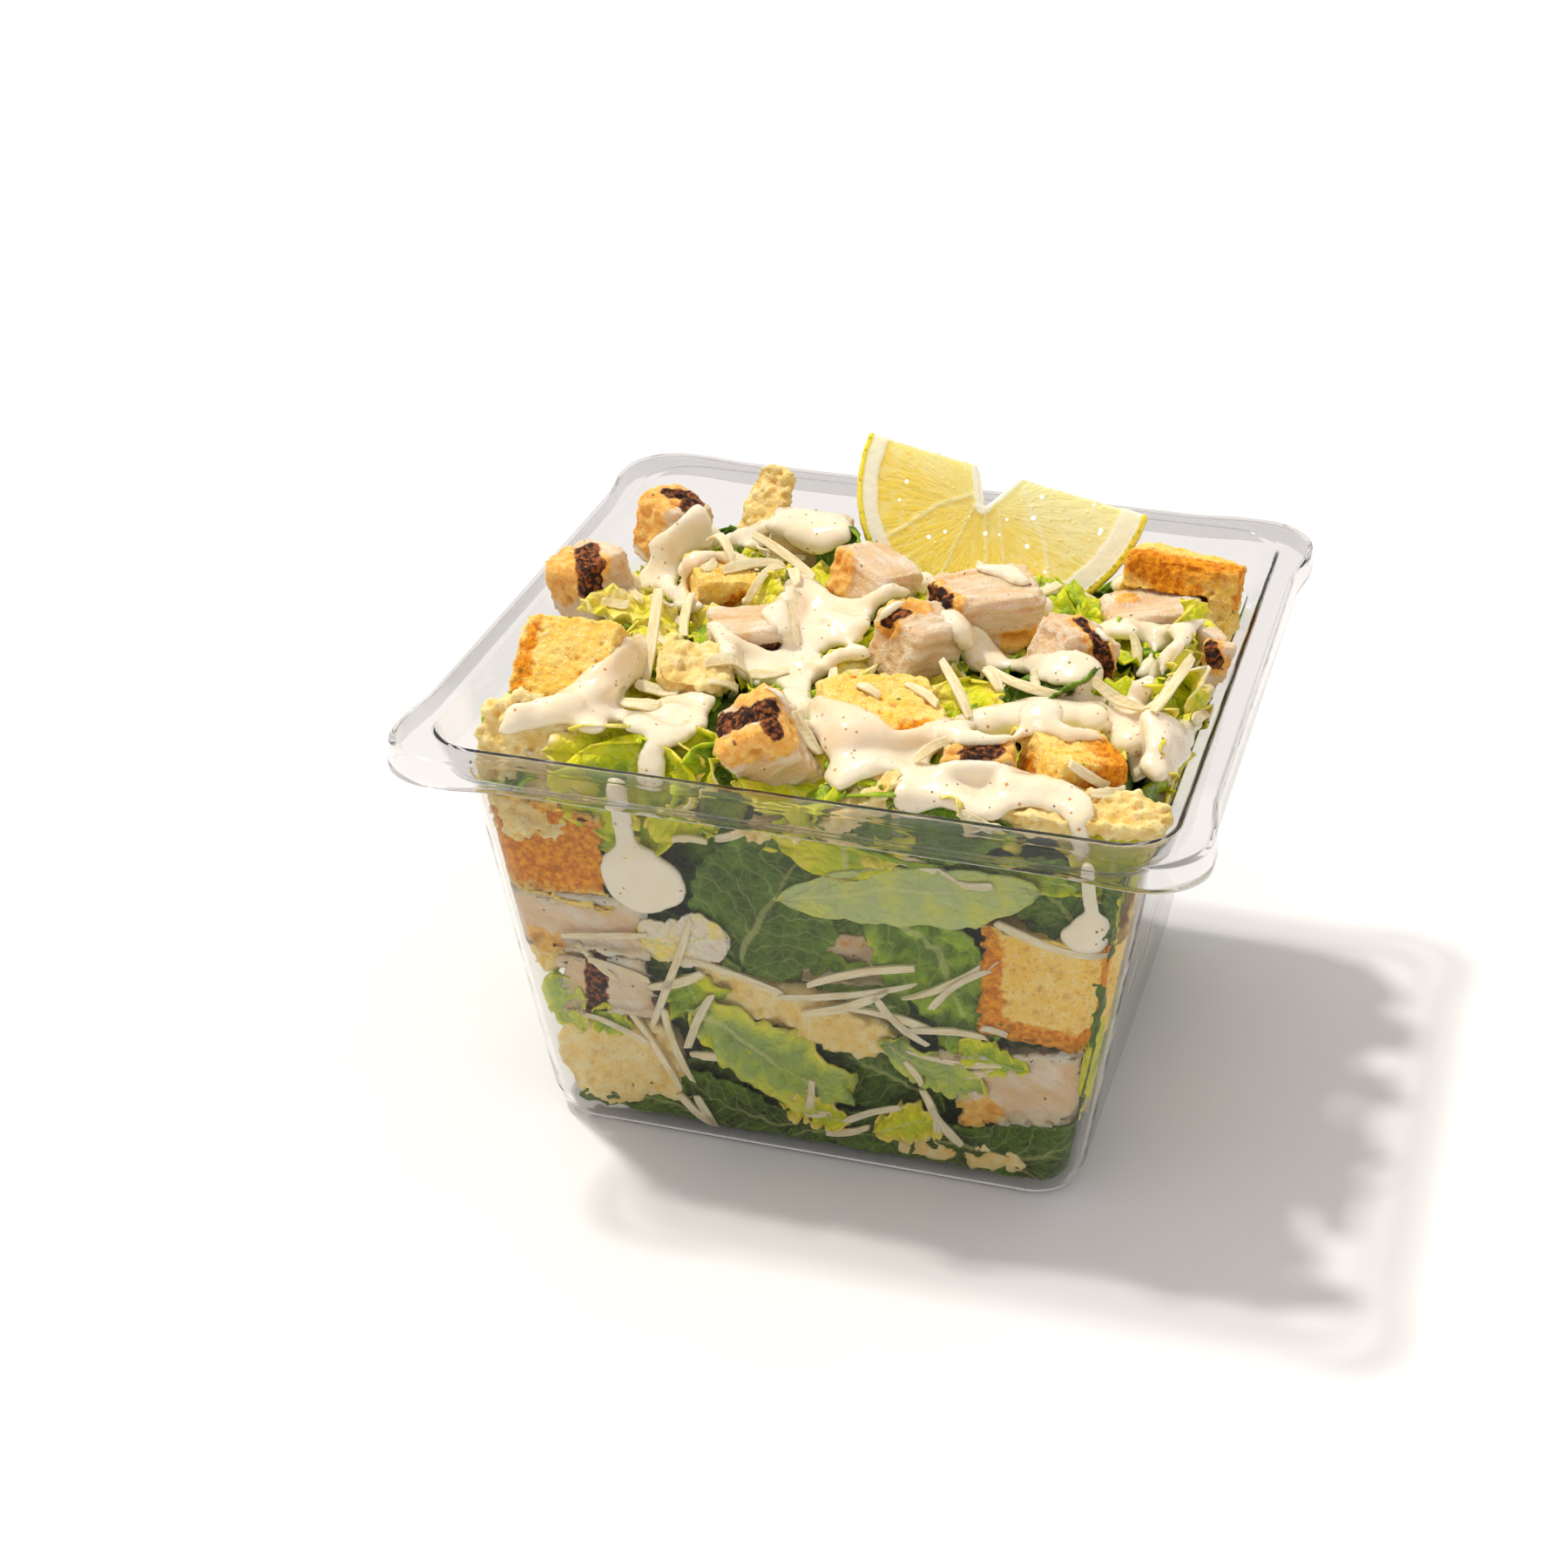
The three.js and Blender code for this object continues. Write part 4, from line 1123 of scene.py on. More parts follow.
bm = start_leaves()
bmesh.ops.create_cube(bm, size=2)
bmesh.ops.subdivide_edges(bm, edges=bm.edges, cuts=CORE_CUTS, use_grid_fill=True)
tones = bm.verts.layers.float["tone"]
grains = bm.verts.layers.float_vector["grain"]
for vert in bm.verts:
    u, v, w = vert.co
    corner = 1 - 0.07 * u * u * v * v
    top = heap_height(u * CORE_HALF * corner, v * CORE_HALF * corner) - CORE_UNDER
    z = CORE_FLOOR + (top - CORE_FLOOR) * (w + 1) / 2
    half = (inner_half(z) - CORE_INSET) * corner
    spot = Vector((u * half, v * half, z))
    fold = Vector([noise.noise(spot / 9 + Vector((axis * 9.0, 0, 0))) for axis in range(3)])
    vert[tones] = 0.82 + 0.3 * noise.noise(spot / 12)
    vert[grains] = spot
    vert.co = spot + fold * FOLD_DEPTH
bmesh.ops.recalc_face_normals(bm, faces=bm.faces)
core = as_object("heap_core", bm)
press_into_tub(core, 1.5)
finish(core, lettuce_stuff, "salad_greens", "salad")

# %% [markdown]
# ## Leaves on the top and round the walls
#
# The leaves that can be told apart are listed one by one, and many plain ones fill the rest by
# seeded chance. Each list becomes one joined piece.

# %% Leaves on top
# Middle, turn, width, length, tone, and what makes it special.
TOP_LEAVES = [
    ((-31, -53.5, 78.5), (66, 4, 6), 27, 15, 0.38, {"ruffle": 2.4, "cup": 0.15, "steps": (26, 16)}),
    ((-29, -55.5, 74), (84, 0, 4), 24, 22, 0.5, {"ruffle": 2.0, "steps": (24, 22)}),
    ((-19, -52.5, 79.5), (52, -10, -20), 13, 14, 0.42, {"ruffle": 2.6, "cup": 0.3}),
    ((-15, -53.5, 77), (70, 10, 20), 15, 16, 0.62, {"ruffle": 2.0}),
    ((-43, -9, 84.5), (20, -8, 100), 9, 24, 0.16, {"ruffle": 2.2, "cup": 0.3}),
    ((-36, -19, 84), (25, 10, 60), 9, 16, 0.2, {"ruffle": 1.8}),
    ((-1, -17, 83.5), (24, 10, 20), 10, 11, 0.17, {"ruffle": 1.8}),
    ((-16, 29, 84.5), (58, 10, -30), 10, 12, 0.78, {"ruffle": 0.8, "cup": 0.3}),
    ((-22, 3, 85), (50, -30, 20), 9, 13, 0.3, {"ruffle": 1.6}),
    ((22, -23.5, 83), (34, -8, 10), 15, 12, 0.34, {"ruffle": 1.6}),
    ((33.5, -17, 84), (30, 6, -70), 10, 22, 0.8, {"ruffle": 0.8, "cup": 0.25}),
    ((56.5, 14, 83.5), (58, 20, 70), 12, 16, 0.4, {"ruffle": 2.2}),
    ((58.5, -3, 81.5), (46, 34, 86), 17, 18, 0.36, {"ruffle": 2.8, "steps": (20, 24)}),
    ((57.5, -12, 79), (60, 20, 70), 16, 18, 0.45, {"ruffle": 2.6, "steps": (20, 24)}),
    ((58.5, -26, 78.5), (66, 10, 84), 13, 16, 0.4, {"ruffle": 2.2}),
    ((53, -52, 74.5), (70, 0, 20), 17, 16, 0.4, {"ruffle": 2.0}),
    ((20, -57, 76.5), (72, 0, 0), 34, 13, 0.72, {"ruffle": 1.0, "steps": (26, 14)}),
    ((8, -57.5, 72), (80, 0, 3), 24, 14, 0.44, {"ruffle": 1.8}),
    ((0, 42, 74), (-20, 8, 10), 24, 16, 0.5, {}),
    ((-54, 36, 76), (-10, -30, 60), 18, 16, 0.46, {"ruffle": 1.8}),
    ((44, 48, 68), (-24, 10, -20), 24, 18, 0.55, {"ruffle": 1.5}),
    ((-20, 52, 68), (-30, 0, 6), 26, 16, 0.42, {"ruffle": 1.5}),
]
# Scraps laid by chance: how many, the seed of the first, ruffle and blister, and then the ranges of
# their places in X and Y, their leans, how deep they lie, width, length and tone.
SCRAPS = [
    (75, 40, 2.0, 1.0, [(-54, 54), (-54, 54)], [(-35, 45), (-30, 30), (0, 360)], (0.5, 3.0),
     [(11, 18), (14, 24), (0.2, 0.85)]),
    (85, 140, 1.6, 1.2, [(-52, 52), (-50, 54)], [(-16, 24), (-16, 16), (0, 360)], (-0.6, 1.4),
     [(12, 17), (16, 22), (0.32, 0.85)]),
]


def picked(ranges):
    return [random.uniform(*ends) for ends in ranges]


random.seed(11)
bm = start_leaves()
for number, (middle, turn, width, length, tone, more) in enumerate(TOP_LEAVES):
    add_leaf(bm, Matrix.Translation(middle) @ turned(*turn), width, length, tone, number * 1.7, **more)
for count, seed, ruffle, blister, where, leans, depths, sizes in SCRAPS:
    for number in range(count):
        x, y = picked(where)
        lean = turned(*picked(leans))
        place = Matrix.Translation((x, y, heap_height(x, y) - random.uniform(*depths))) @ lean
        add_leaf(bm, place, *picked(sizes), seed + number * 1.3, ruffle=ruffle, blister=blister,
                 steps=(12, 18))
top_leaves = finish_leaves("leaves_on_top", bm)

# %% Leaves against the front wall
# Along the wall, up it, gap to the plastic, spin, width, length, tone, and what makes it special.
FRONT_LEAVES = [
    (-5, 56, 2.0, -24, 27, 32, 0.86, {"waist": 0.85, "rib": 0.3}),
    (20, 63.5, 0.9, -78, 13.5, 47, 0.52,
     {"painted_haze": 0.6, "point": 1.9, "waist": 0.8, "ruffle": 0.4, "blister": 0.5, "bend": 0}),
    (8, 71, 2.3, -88, 8, 34, 0.4, {"ruffle": 2.0, "rib": 0}),
    (36, 71, 3.2, 85, 8, 34, 0.56, {"ruffle": 1.6}),
    (-21, 46, 1.0, -80, 11.5, 17, 0.03, {"rib": 0.3, "waist": 0.9, "ruffle": 0.4, "blister": 0.3}),
    (-34, 70, 1.6, 160, 15, 13, 0.46, {"ruffle": 2.6}),
    (-20, 71.5, 1.9, 96, 8, 13, 0.36, {"ruffle": 2.0, "rib": 0}),
    (-6, 22, 1.0, -119, 16, 33, 0.6, {"ruffle": 2.6, "waist": 0.85, "blister": 1.4, "painted_haze": 0.28}),
    (-17, 29, 2.8, 40, 13, 20, 0.58, {"ruffle": 2.0}),
    (25, 46, 2.9, -148, 19, 36, 0.66, {"waist": 0.8, "blister": 1.4}),
    (35, 30.5, 0.9, 74, 7, 13, 0.5, {"ruffle": 2.0}),
    (24, 25.5, 1.0, -112, 8, 20, 0.6, {"ruffle": 2.4, "painted_haze": 0.3}),
    (42, 9.5, 2.6, -78, 15, 38, 0.92, {"waist": 0.9}),
    (57, 33, 3.0, 8, 9, 36, 0.86, {"ruffle": 1.2}),
    (2, 10.5, 1.2, 82, 9, 13, 0.37, {"ruffle": 2.4}),
    (19.5, 11, 1.2, -70, 9, 13, 0.37, {"ruffle": 2.4}),
    (-13, 7.5, 2.4, 75, 13, 22, 0.93, {}),
    (8, 5.5, 2.8, -84, 10, 24, 0.93, {}),
    (-10, 12, 4.0, 88, 18, 30, 0.95, {}),
    (12, 21, 4.4, 70, 18, 28, 0.9, {}),
    (-30, 4.5, 3.0, 88, 8, 30, 0.9, {}),
    (22, 3.8, 3.4, 92, 8, 44, 0.95, {}),
    (-4, 3.5, 4.0, 90, 8, 34, 0.97, {}),
    (-44.5, 27, 1.6, 20, 9, 13, 0.5, {"ruffle": 2.4, "painted_haze": 0.25}),
    (-36, 24.5, 1.2, 70, 7, 8, 0.55, {"ruffle": 2.0}),
    (57, 65, 2.6, -8, 9, 19, 0.88, {}),
    (58.5, 66, 1.6, -4, 3.5, 15, 0.36, {"rib": 0}),
    (44, 66, 3.8, 40, 16, 20, 0.84, {}),
    (16, 56, 4.6, 70, 14, 34, 0.78, {}),
    (-26, 38, 4.6, 20, 22, 26, 0.8, {}),
    (2, 36, 5.0, 90, 22, 34, 0.72, {}),
    (38, 38, 5.0, 10, 20, 34, 0.85, {}),
    (-38, 56, 5.4, 0, 20, 30, 0.7, {}),
    (-36, 20, 5.4, 0, 18, 26, 0.75, {}),
]
PRESSED = {"blister": 1.0, "cup": 0.03, "arch": 0.0}    # what the plastic makes of a leaf
FRONT, RIGHT, BACK, LEFT = range(4)

bm = start_leaves()
for number, (along, up, gap, spin, width, length, tone, more) in enumerate(FRONT_LEAVES):
    add_leaf(bm, on_wall(FRONT, along, up, gap, spin), width, length, tone, 3 + number * 2.3,
             **{**PRESSED, "steps": (22, 34), **more})
finish_leaves("leaves_in_front", bm)

# %% Leaves against the other walls
LEAVES_PER_SIDE = 30
EMPTY_CORNER = (26.0, 46.0)    # the left wall is bare this far along, and below this height
CLEAR_OF_IT = -30.0            # how far a piece that would stand there is moved
FORWARD_EVERY = 5              # one leaf in so many lies nearly on the plastic, and is larger


def in_empty_corner(side, along, up, reach):
    return side == LEFT and along + reach > EMPTY_CORNER[0] and up - reach * 0.5 < EMPTY_CORNER[1]


random.seed(23)
bm = start_leaves()
for side in (RIGHT, BACK, LEFT):
    for number in range(LEAVES_PER_SIDE):
        up = 8 + 62 * (number + random.random()) / LEAVES_PER_SIDE
        reach = inner_half(up) - 10
        if side != RIGHT:
            up *= 0.92
        along, gap, spin = picked([(-reach, reach), (2.6, 5.4), (0, 360)])
        width, length, tone, ruffle = picked([(13, 22), (20, 34), (0.45, 1.0), (1.0, 2.4)])
        if number % FORWARD_EVERY == 0:
            gap = 0.8
            tone *= 0.75
            length *= 1.2
        if in_empty_corner(side, along, up, length / 2):
            along += CLEAR_OF_IT
        add_leaf(bm, on_wall(side, along, up, gap, spin), width, length, tone,
                 side * 50 + number * 1.9, ruffle=ruffle, **PRESSED)
finish_leaves("leaves_round_the_sides", bm)

# %% [markdown]
# ## The slice of lemon
#
# Half a round slice: flesh in wedges between pale membranes, then white pith, then yellow rind. All
# of it is told by where a point lies in the slice's own plane, so the solid is remeshed, its places
# are turned into that plane, and the shares of flesh, membrane and rind are written to the mesh.

# %% Lemon finish
DEEP_FLESH, PALE_FLESH, SAC_WALL = (0.95, 0.74, 0.09), (0.97, 0.88, 0.46), (0.98, 0.94, 0.62)
PITH, PALE_PITH, MEMBRANE = (0.93, 0.87, 0.64), (0.97, 0.94, 0.80), (0.97, 0.94, 0.74)
PEEL_DENT, PEEL = (0.62, 0.55, 0.03), (0.88, 0.72, 0.06)
# Painted glints, in the base colour and as a glow:
BLACK, PAINTED_GLINT, PAINTED_GLINT_GLOW = (0.0, 0.0, 0.0), (1.0, 0.99, 0.94), (0.5, 0.5, 0.44)

# The emission is there for the painted glints, which glow.
lemon_stuff, tree, shader = new_material(
    "lemon", Subsurface_Weight=0.6, Subsurface_Radius=(1.0, 0.85, 0.35), Subsurface_Scale=0.005,
    Coat_Roughness=0.06, Specular_IOR_Level=0.35, Emission_Strength=1.0)
own = from_mesh(tree, "grain", "Vector")
rays = from_mesh(tree, "rays", "Vector")
pulp, seam, rind = [from_mesh(tree, name) for name in ("pulp", "seam", "rind")]
sideways, upwards, _ = put(tree, "ShaderNodeSeparateXYZ", i0=own).outputs

# Flesh: paler towards the straight cut, with pale walls between its juice sacs.
clouds = use(tree, blotch, Where=own, Size=6.0, Low=0.3, High=0.7)["Share"]
towards_cut = times_plus(tree, sideways, 0.016, times_plus(tree, upwards, 0.055, 0.82))
pale = step_between(tree, times_plus(tree, clouds, 0.35, towards_cut), 0.15, 1.1)
sacs = walls_of(tree, rays, 1.0)
flesh = blend(tree, pale, DEEP_FLESH, PALE_FLESH)
flesh = lay_over(tree, flesh, SAC_WALL, step_between(tree, sacs, 0.12, 0.0), 0.3)

# Round it lies spongy pith, and dented peel outside; the flesh has membranes, and painted glints:
# white spots that glow, standing for highlights on its juice.
spongy = noise_of(tree, own, 1.6, 4.0)
pith = blend(tree, spongy, PITH, PALE_PITH)
colour = blend(tree, step_between(tree, pulp, 0.3, 0.7), pith, flesh)
colour = lay_over(tree, colour, MEMBRANE, seam, 0.4)
# Painted glints: white spots on the flesh that stand for highlights on the juice.
painted_glint_spots = use(tree, specks, Where=own, Spacing=2.6, Radius=0.17, Kept=0.3)["Mask"]
painted_glint_mask = times(tree, painted_glint_spots, pulp)
colour = blend(tree, painted_glint_mask, colour, PAINTED_GLINT)
glands = spots_of(tree, own, 0.85)
peel = blend(tree, step_between(tree, glands, 0.2, 0.5), PEEL_DENT, PEEL)
colour = blend(tree, step_between(tree, rind, 0.35, 0.75), colour, peel)

bead = step_between(tree, spots_of(tree, own, 0.62), 0.3, 0.05)
juicy = times_plus(tree, calc(tree, "MINIMUM", sacs, 0.25), 0.9, times(tree, bead, 0.5))
dents = times(tree, rind, step_between(tree, glands, 0.1, 0.4))
height = times_plus(tree, juicy, pulp, times_plus(tree, spongy, 0.35, dents))
# The painted glints also glow, through the emission colour.
wire(tree, shader, Base_Color=colour, Roughness=times_plus(tree, pulp, -0.3, 0.42),
     Coat_Weight=times(tree, pulp, 0.6), Emission_Color=blend(tree, painted_glint_mask, BLACK, PAINTED_GLINT_GLOW),
     Normal=bump(tree, height, 0.6, 0.0006))
print("lemon finish ready")

# %% Lemon shape
LEMON_PLACE = Matrix.Translation((13, 42, 100.5)) @ turned(61, 0, 11) @ turned(0, 0, -14.5)
LEMON_VOXEL = 0.42
# The solid's radius at the straight cut, how much more it is below, and its girth through the slice.
SOLID_RADIUS, SOLID_MORE = 29.3, 1.7
LEMON_GIRTH = ([-10.0, -6.7, -3.3, 0.0], [0.9, 0.97, 1.0, 0.985])
# The radius that it is drawn to, and the width of the pith, at degrees round the slice.
LEMON_EDGE = ([-180, -150, -125, -90, -50, -20, 0], [27.4, 29.2, 30.4, 30.0, 28.9, 29.0, 29.2])
PITH_WIDTH = ([-180, -150, -90, -40, 0], [4.1, 3.7, 3.4, 4.6, 5.2])
HUB = np.array((-1.8, -8.0))
# Half width and line of each membrane, then of each side of the notch.
MEMBRANES = [
    (0.42, [(-0.9, -1.8), (-4.4, -5.7), (-10.4, -9.6), (-14.8, -14.8), (-18.5, -19.0)]),
    (0.42, [(4.2, -1.2), (7.7, -6.3), (11.7, -11.0), (14.2, -17.1), (14.8, -20)]),
    (0.22, [(-3.4, -7.2), (-4.4, -12.5), (-6.0, -24.5)]),
    (0.22, [(-1.2, -8.4), (1.6, -16.7), (3.0, -26.0)]),
    (0.26, [(1.3, -7.4), (4.7, -15.7), (8.2, -24.5)]),
]
NOTCH_SIDES = [
    (1.5, [(-5.0, 0), (-3.6, -4.0), (-1.8, -7.6)]),
    (1.3, [(3.2, 0), (0.9, -3.8), (-1.8, -7.6)]),
]
RAY_TURNS = 13.0       # juice sacs in one radian round the hub
RAY_LENGTH = 5.5       # and the length of one, in millimetres

lemon = copy_of("lemon", "lemon_slice", LEMON_VOXEL)
place, unplace = np.array(LEMON_PLACE), np.array(LEMON_PLACE.inverted())
own = points_of(lemon) @ unplace[:3, :3].T + unplace[:3, 3]
angle = np.degrees(np.arctan2(np.minimum(own[:, 1], -1e-6), own[:, 0]))
reach = np.hypot(own[:, 0], own[:, 1])
girth = np.interp(own[:, 2], *LEMON_GIRTH)
solid_edge = (SOLID_RADIUS + SOLID_MORE * np.abs(np.sin(np.radians(angle)))) * girth
edge = np.interp(angle, *LEMON_EDGE) * girth
own[:, :2] *= (1 + (edge / solid_edge - 1) * np.clip(reach / solid_edge, 0, 1) ** 3)[:, None]
from_edge = edge - np.hypot(own[:, 0], own[:, 1])
pith = np.interp(angle, *PITH_WIDTH) + 0.35 * wobble(own, 3.0)
pulp = smooth_step(pith - 0.3, pith + 0.3, from_edge)
for width, line in NOTCH_SIDES:
    pulp *= smooth_step(width - 0.5, width + 0.3, near_line(own[:, :2], line) + 0.3 * wobble(own, 1.4))
seam = np.zeros(len(own))
for width, line in MEMBRANES:
    seam = np.maximum(seam, 1 - smooth_step(width * 0.3, width * 1.5, near_line(own[:, :2], line)))
seam *= pulp
rind = 1 - smooth_step(0.7, 1.25, from_edge + 0.15 * wobble(own, 1.2))
from_hub = own[:, :2] - HUB
round_hub = np.arctan2(from_hub[:, 1], from_hub[:, 0])
hub_reach = np.hypot(from_hub[:, 0], from_hub[:, 1])
rays = np.column_stack([round_hub * RAY_TURNS, hub_reach / RAY_LENGTH, own[:, 2] * 0.5])
move_points(lemon, own @ place[:3, :3].T + place[:3, 3])
for name, values in {"grain": own, "rays": rays, "pulp": pulp, "seam": seam, "rind": rind}.items():
    write_values(lemon, name, values)
sacs = wobble(rays, 1.0)
push(lemon, pulp * (0.1 * sacs - 0.3) + 0.2 * seam + 0.08 * wobble(own, 1.2) * (1 - pulp)
     - 0.1 * rind * np.clip(0.5 - cells(own, 1.1), 0, 1))
finish(lemon, lemon_stuff, "lemon", "lemon")

# %% [markdown]
# ## Food pressed against the walls
#
# Through the clear walls one sees what the salad is made of. Cubes of bread and chicken start as
# bevelled boxes, cheese crisps as ragged patches with thickness. They are remeshed together, made
# rough by the same functions as the toppings, and pressed back flat where the plastic stops them.

# %% Chunks and patches
CORNER_STRAY = 1.7
CHUNK_BEVEL = 1.5


def add_chunk(bm, place, size, seed):
    """A cube with uneven corners; its front face lies in the place's XY plane."""
    made = bmesh.ops.create_cube(bm, size=1)["verts"]
    for vert in made:
        corner = Vector([vert.co[k] * size[k] for k in range(3)])
        corner += noise.noise_vector(corner / 7 + Vector((seed, 3.0, 5.0))) * CORNER_STRAY
        vert.co = place @ (corner - Vector((0, 0, size[2] / 2)))
    corners = set(made)
    edges = [edge for edge in bm.edges if edge.verts[0] in corners]
    bmesh.ops.bevel(bm, geom=edges, offset=CHUNK_BEVEL, segments=2, profile=0.5, affect="EDGES",
                    material=-1)


def add_patch(bm, place, size, seed):
    """A ragged flat piece with thickness, its front in the place's XY plane."""
    front = set(bmesh.ops.create_grid(bm, x_segments=14, y_segments=10, size=1)["verts"])
    faces = [face for face in bm.faces if face.verts[0] in front]
    deep = bmesh.ops.extrude_face_region(bm, geom=faces)["geom"]
    deep = {v for v in deep if isinstance(v, bmesh.types.BMVert)}
    for vert in front | deep:
        u, v = vert.co.x, vert.co.y
        square = max(abs(u), abs(v), 1e-6)
        flat = Vector((u, v)) * (square / max(math.hypot(u, v), 1e-6)) ** 0.55
        turn = math.atan2(v, u)
        ragged = 1 + 0.14 * noise_at(math.cos(turn) * 1.6, math.sin(turn) * 1.6, seed)
        ragged += 0.07 * noise_at(math.cos(turn) * 5, math.sin(turn) * 5, seed + 5)
        wave = 0.9 * noise_at(u * 1.6, v * 1.6, seed + 9)
        depth = -size[2] if vert in deep else 0.0
        across, up = flat.x * size[0] / 2 * ragged, flat.y * size[1] / 2 * ragged
        vert.co = place @ Vector((across, up, depth - abs(wave)))


ADD = {"bread": add_chunk, "meat": add_chunk, "crisp": add_patch}
print("chunks for", list(ADD))

# %% Pieces against the walls
# Along the wall, up it, gap to the plastic, spin, width, height, thickness.
FRONT_FOOD = {
    "bread": [(-45, 61.7, 2.0, -3, 18.5, 18.5, 12), (46, 47.5, 1.0, -5, 22.5, 21, 12)],
    "meat": [(-41.5, 46, 1.4, 5, 25, 10.5, 12), (-36.3, 32.3, 0.8, 6, 14, 10.5, 12),
             (40, 24, 1.4, 12, 23, 13.5, 12), (12.5, 46.5, 3.8, 8, 22, 10, 10)],
    "crisp": [(-34.8, 14.5, 2.0, 14, 25, 21, 3.6), (-1.5, 32.5, 2.2, -14, 38, 10.5, 3.4),
              (29, 6, 2.0, -3, 27, 6.5, 3), (-46.5, 37, 2.6, 20, 10, 8, 2.6)],
}
# For each other wall: what, along it, up it, width, height.
SIDE_FOOD = [
    ("bread", -36, 55, 20, 17), ("meat", -2, 60, 20, 13), ("crisp", 36, 61, 24, 14),
    ("meat", -17, 37, 19, 14), ("bread", 27, 38, 19, 20), ("crisp", -36, 24, 24, 15),
    ("meat", 33, 16, 20, 12), ("crisp", -4, 14, 26, 12),
]
SIDE_THICK = {"bread": 12, "meat": 12, "crisp": 3.2}
SIDE_GAP = 1.4

wall_bms = {kind: bmesh.new() for kind in FRONT_FOOD}
for kind, places in FRONT_FOOD.items():
    for number, (along, up, gap, spin, *size) in enumerate(places):
        ADD[kind](wall_bms[kind], on_wall(FRONT, along, up, gap, spin), size, number * 2.9)
random.seed(5)
for side in (RIGHT, BACK, LEFT):
    for number, (kind, along, up, width, height) in enumerate(SIDE_FOOD):
        along = along * (-1 if side == BACK else 1) + random.uniform(-3, 3)
        up = (up + random.uniform(-3, 3)) * (0.86 if side == BACK else 0.97)
        if in_empty_corner(side, along, up, width / 2):
            along -= 24
        place = on_wall(side, along, up, SIDE_GAP, random.uniform(-20, 20))
        ADD[kind](wall_bms[kind], place, (width, height, SIDE_THICK[kind]), side * 9 + number)
print("pieces of", list(wall_bms))

# %% Char, tan and crust on them
# Radius, wall, and a line along and up that wall.
WALL_CHAR = [
    (2.6, FRONT, [(-39.0, 26.5), (-38.0, 38.5)]), (2.2, RIGHT, [(-4, 56), (-1, 66)]),
    (2.2, BACK, [(15, 27), (19, 40)]), (2.4, LEFT, [(-20, 30), (-16, 43)]),
    (2.0, LEFT, [(30, 10), (36, 22)]),
]
WALL_TAN = [
    (5.0, FRONT, [(2, 46), (22, 48)]), (3.0, FRONT, [(-50, 42), (-46, 41)]),
    (4.0, FRONT, [(31, 17), (34, 18)]), (4.5, RIGHT, [(-6, 58), (2, 64)]),
    (4.5, BACK, [(14, 30), (20, 38)]), (4.5, LEFT, [(-20, 32), (-14, 42)]),
]
WALL_CRUST = [
    (11.0, FRONT, [(-50, 62), (-40, 62)]),
    (2.8, FRONT, [(34.5, 57), (34.5, 38), (50, 36.5), (57, 38), (57, 57)]),
    (6.0, RIGHT, [(-44, 48), (-28, 50)]), (6.0, BACK, [(36, 38), (36, 56)]),
    (6.0, LEFT, [(20, 30), (36, 30)]),
]
# For each kind its name, its finish, the lines of each attribute and how ragged, and its relief.
WALL_PIECES = {
    "bread": ("bread_at_the_walls", "crouton", {"crust": (WALL_CRUST, 1.2)}, {"apart": 2.6, "reach": 0.34}),
    "meat": ("chicken_at_the_walls", "chicken", {"charred": (WALL_CHAR, 0.6), "seared": (WALL_TAN, 1.2)},
             {"torn": 0.5}),
    "crisp": ("crisps_at_the_walls", "crisp", {}, {}),
}
WALL_VOXEL = 0.75
WALL_CORE = 0.6        # the full part of a painted line
WALL_TURN = (20, 30, 10)


def wall_line(side, line, gap=0.5):
    return [on_wall(side, along, up, gap).translation for along, up in line]


for kind, (name, food, brushes, relief) in WALL_PIECES.items():
    piece = remesh(as_object(name, wall_bms[kind]), WALL_VOXEL)
    for attribute, (lines, ragged_by) in brushes.items():
        strokes = [(radius, wall_line(side, line)) for radius, side, line in lines]
        write_values(piece, attribute, paint(points_of(piece), strokes, ragged_by, WALL_CORE))
    stuff, slot, roughen = FINISHES[food]
    roughen(piece, WALL_TURN, **relief)
    press_into_tub(piece, 0.25, 0.5)
    finish(piece, stuff, slot)

# %% [markdown]
# ## Dressing
#
# Thick dressing lies in pools with ropes on them. The pools are one sheet: rays through an even
# grid of the picture find the food, its depths are closed over narrow gaps and evened, as a thick
# fluid would, and the sheet is cut to the pools' outlines and given a thickness. The ropes, the
# drops on the front wall and what is poured where the camera can't see are rows of flat balls. One
# voxel remesh melts all of it together, and smoothing makes the skin silky.

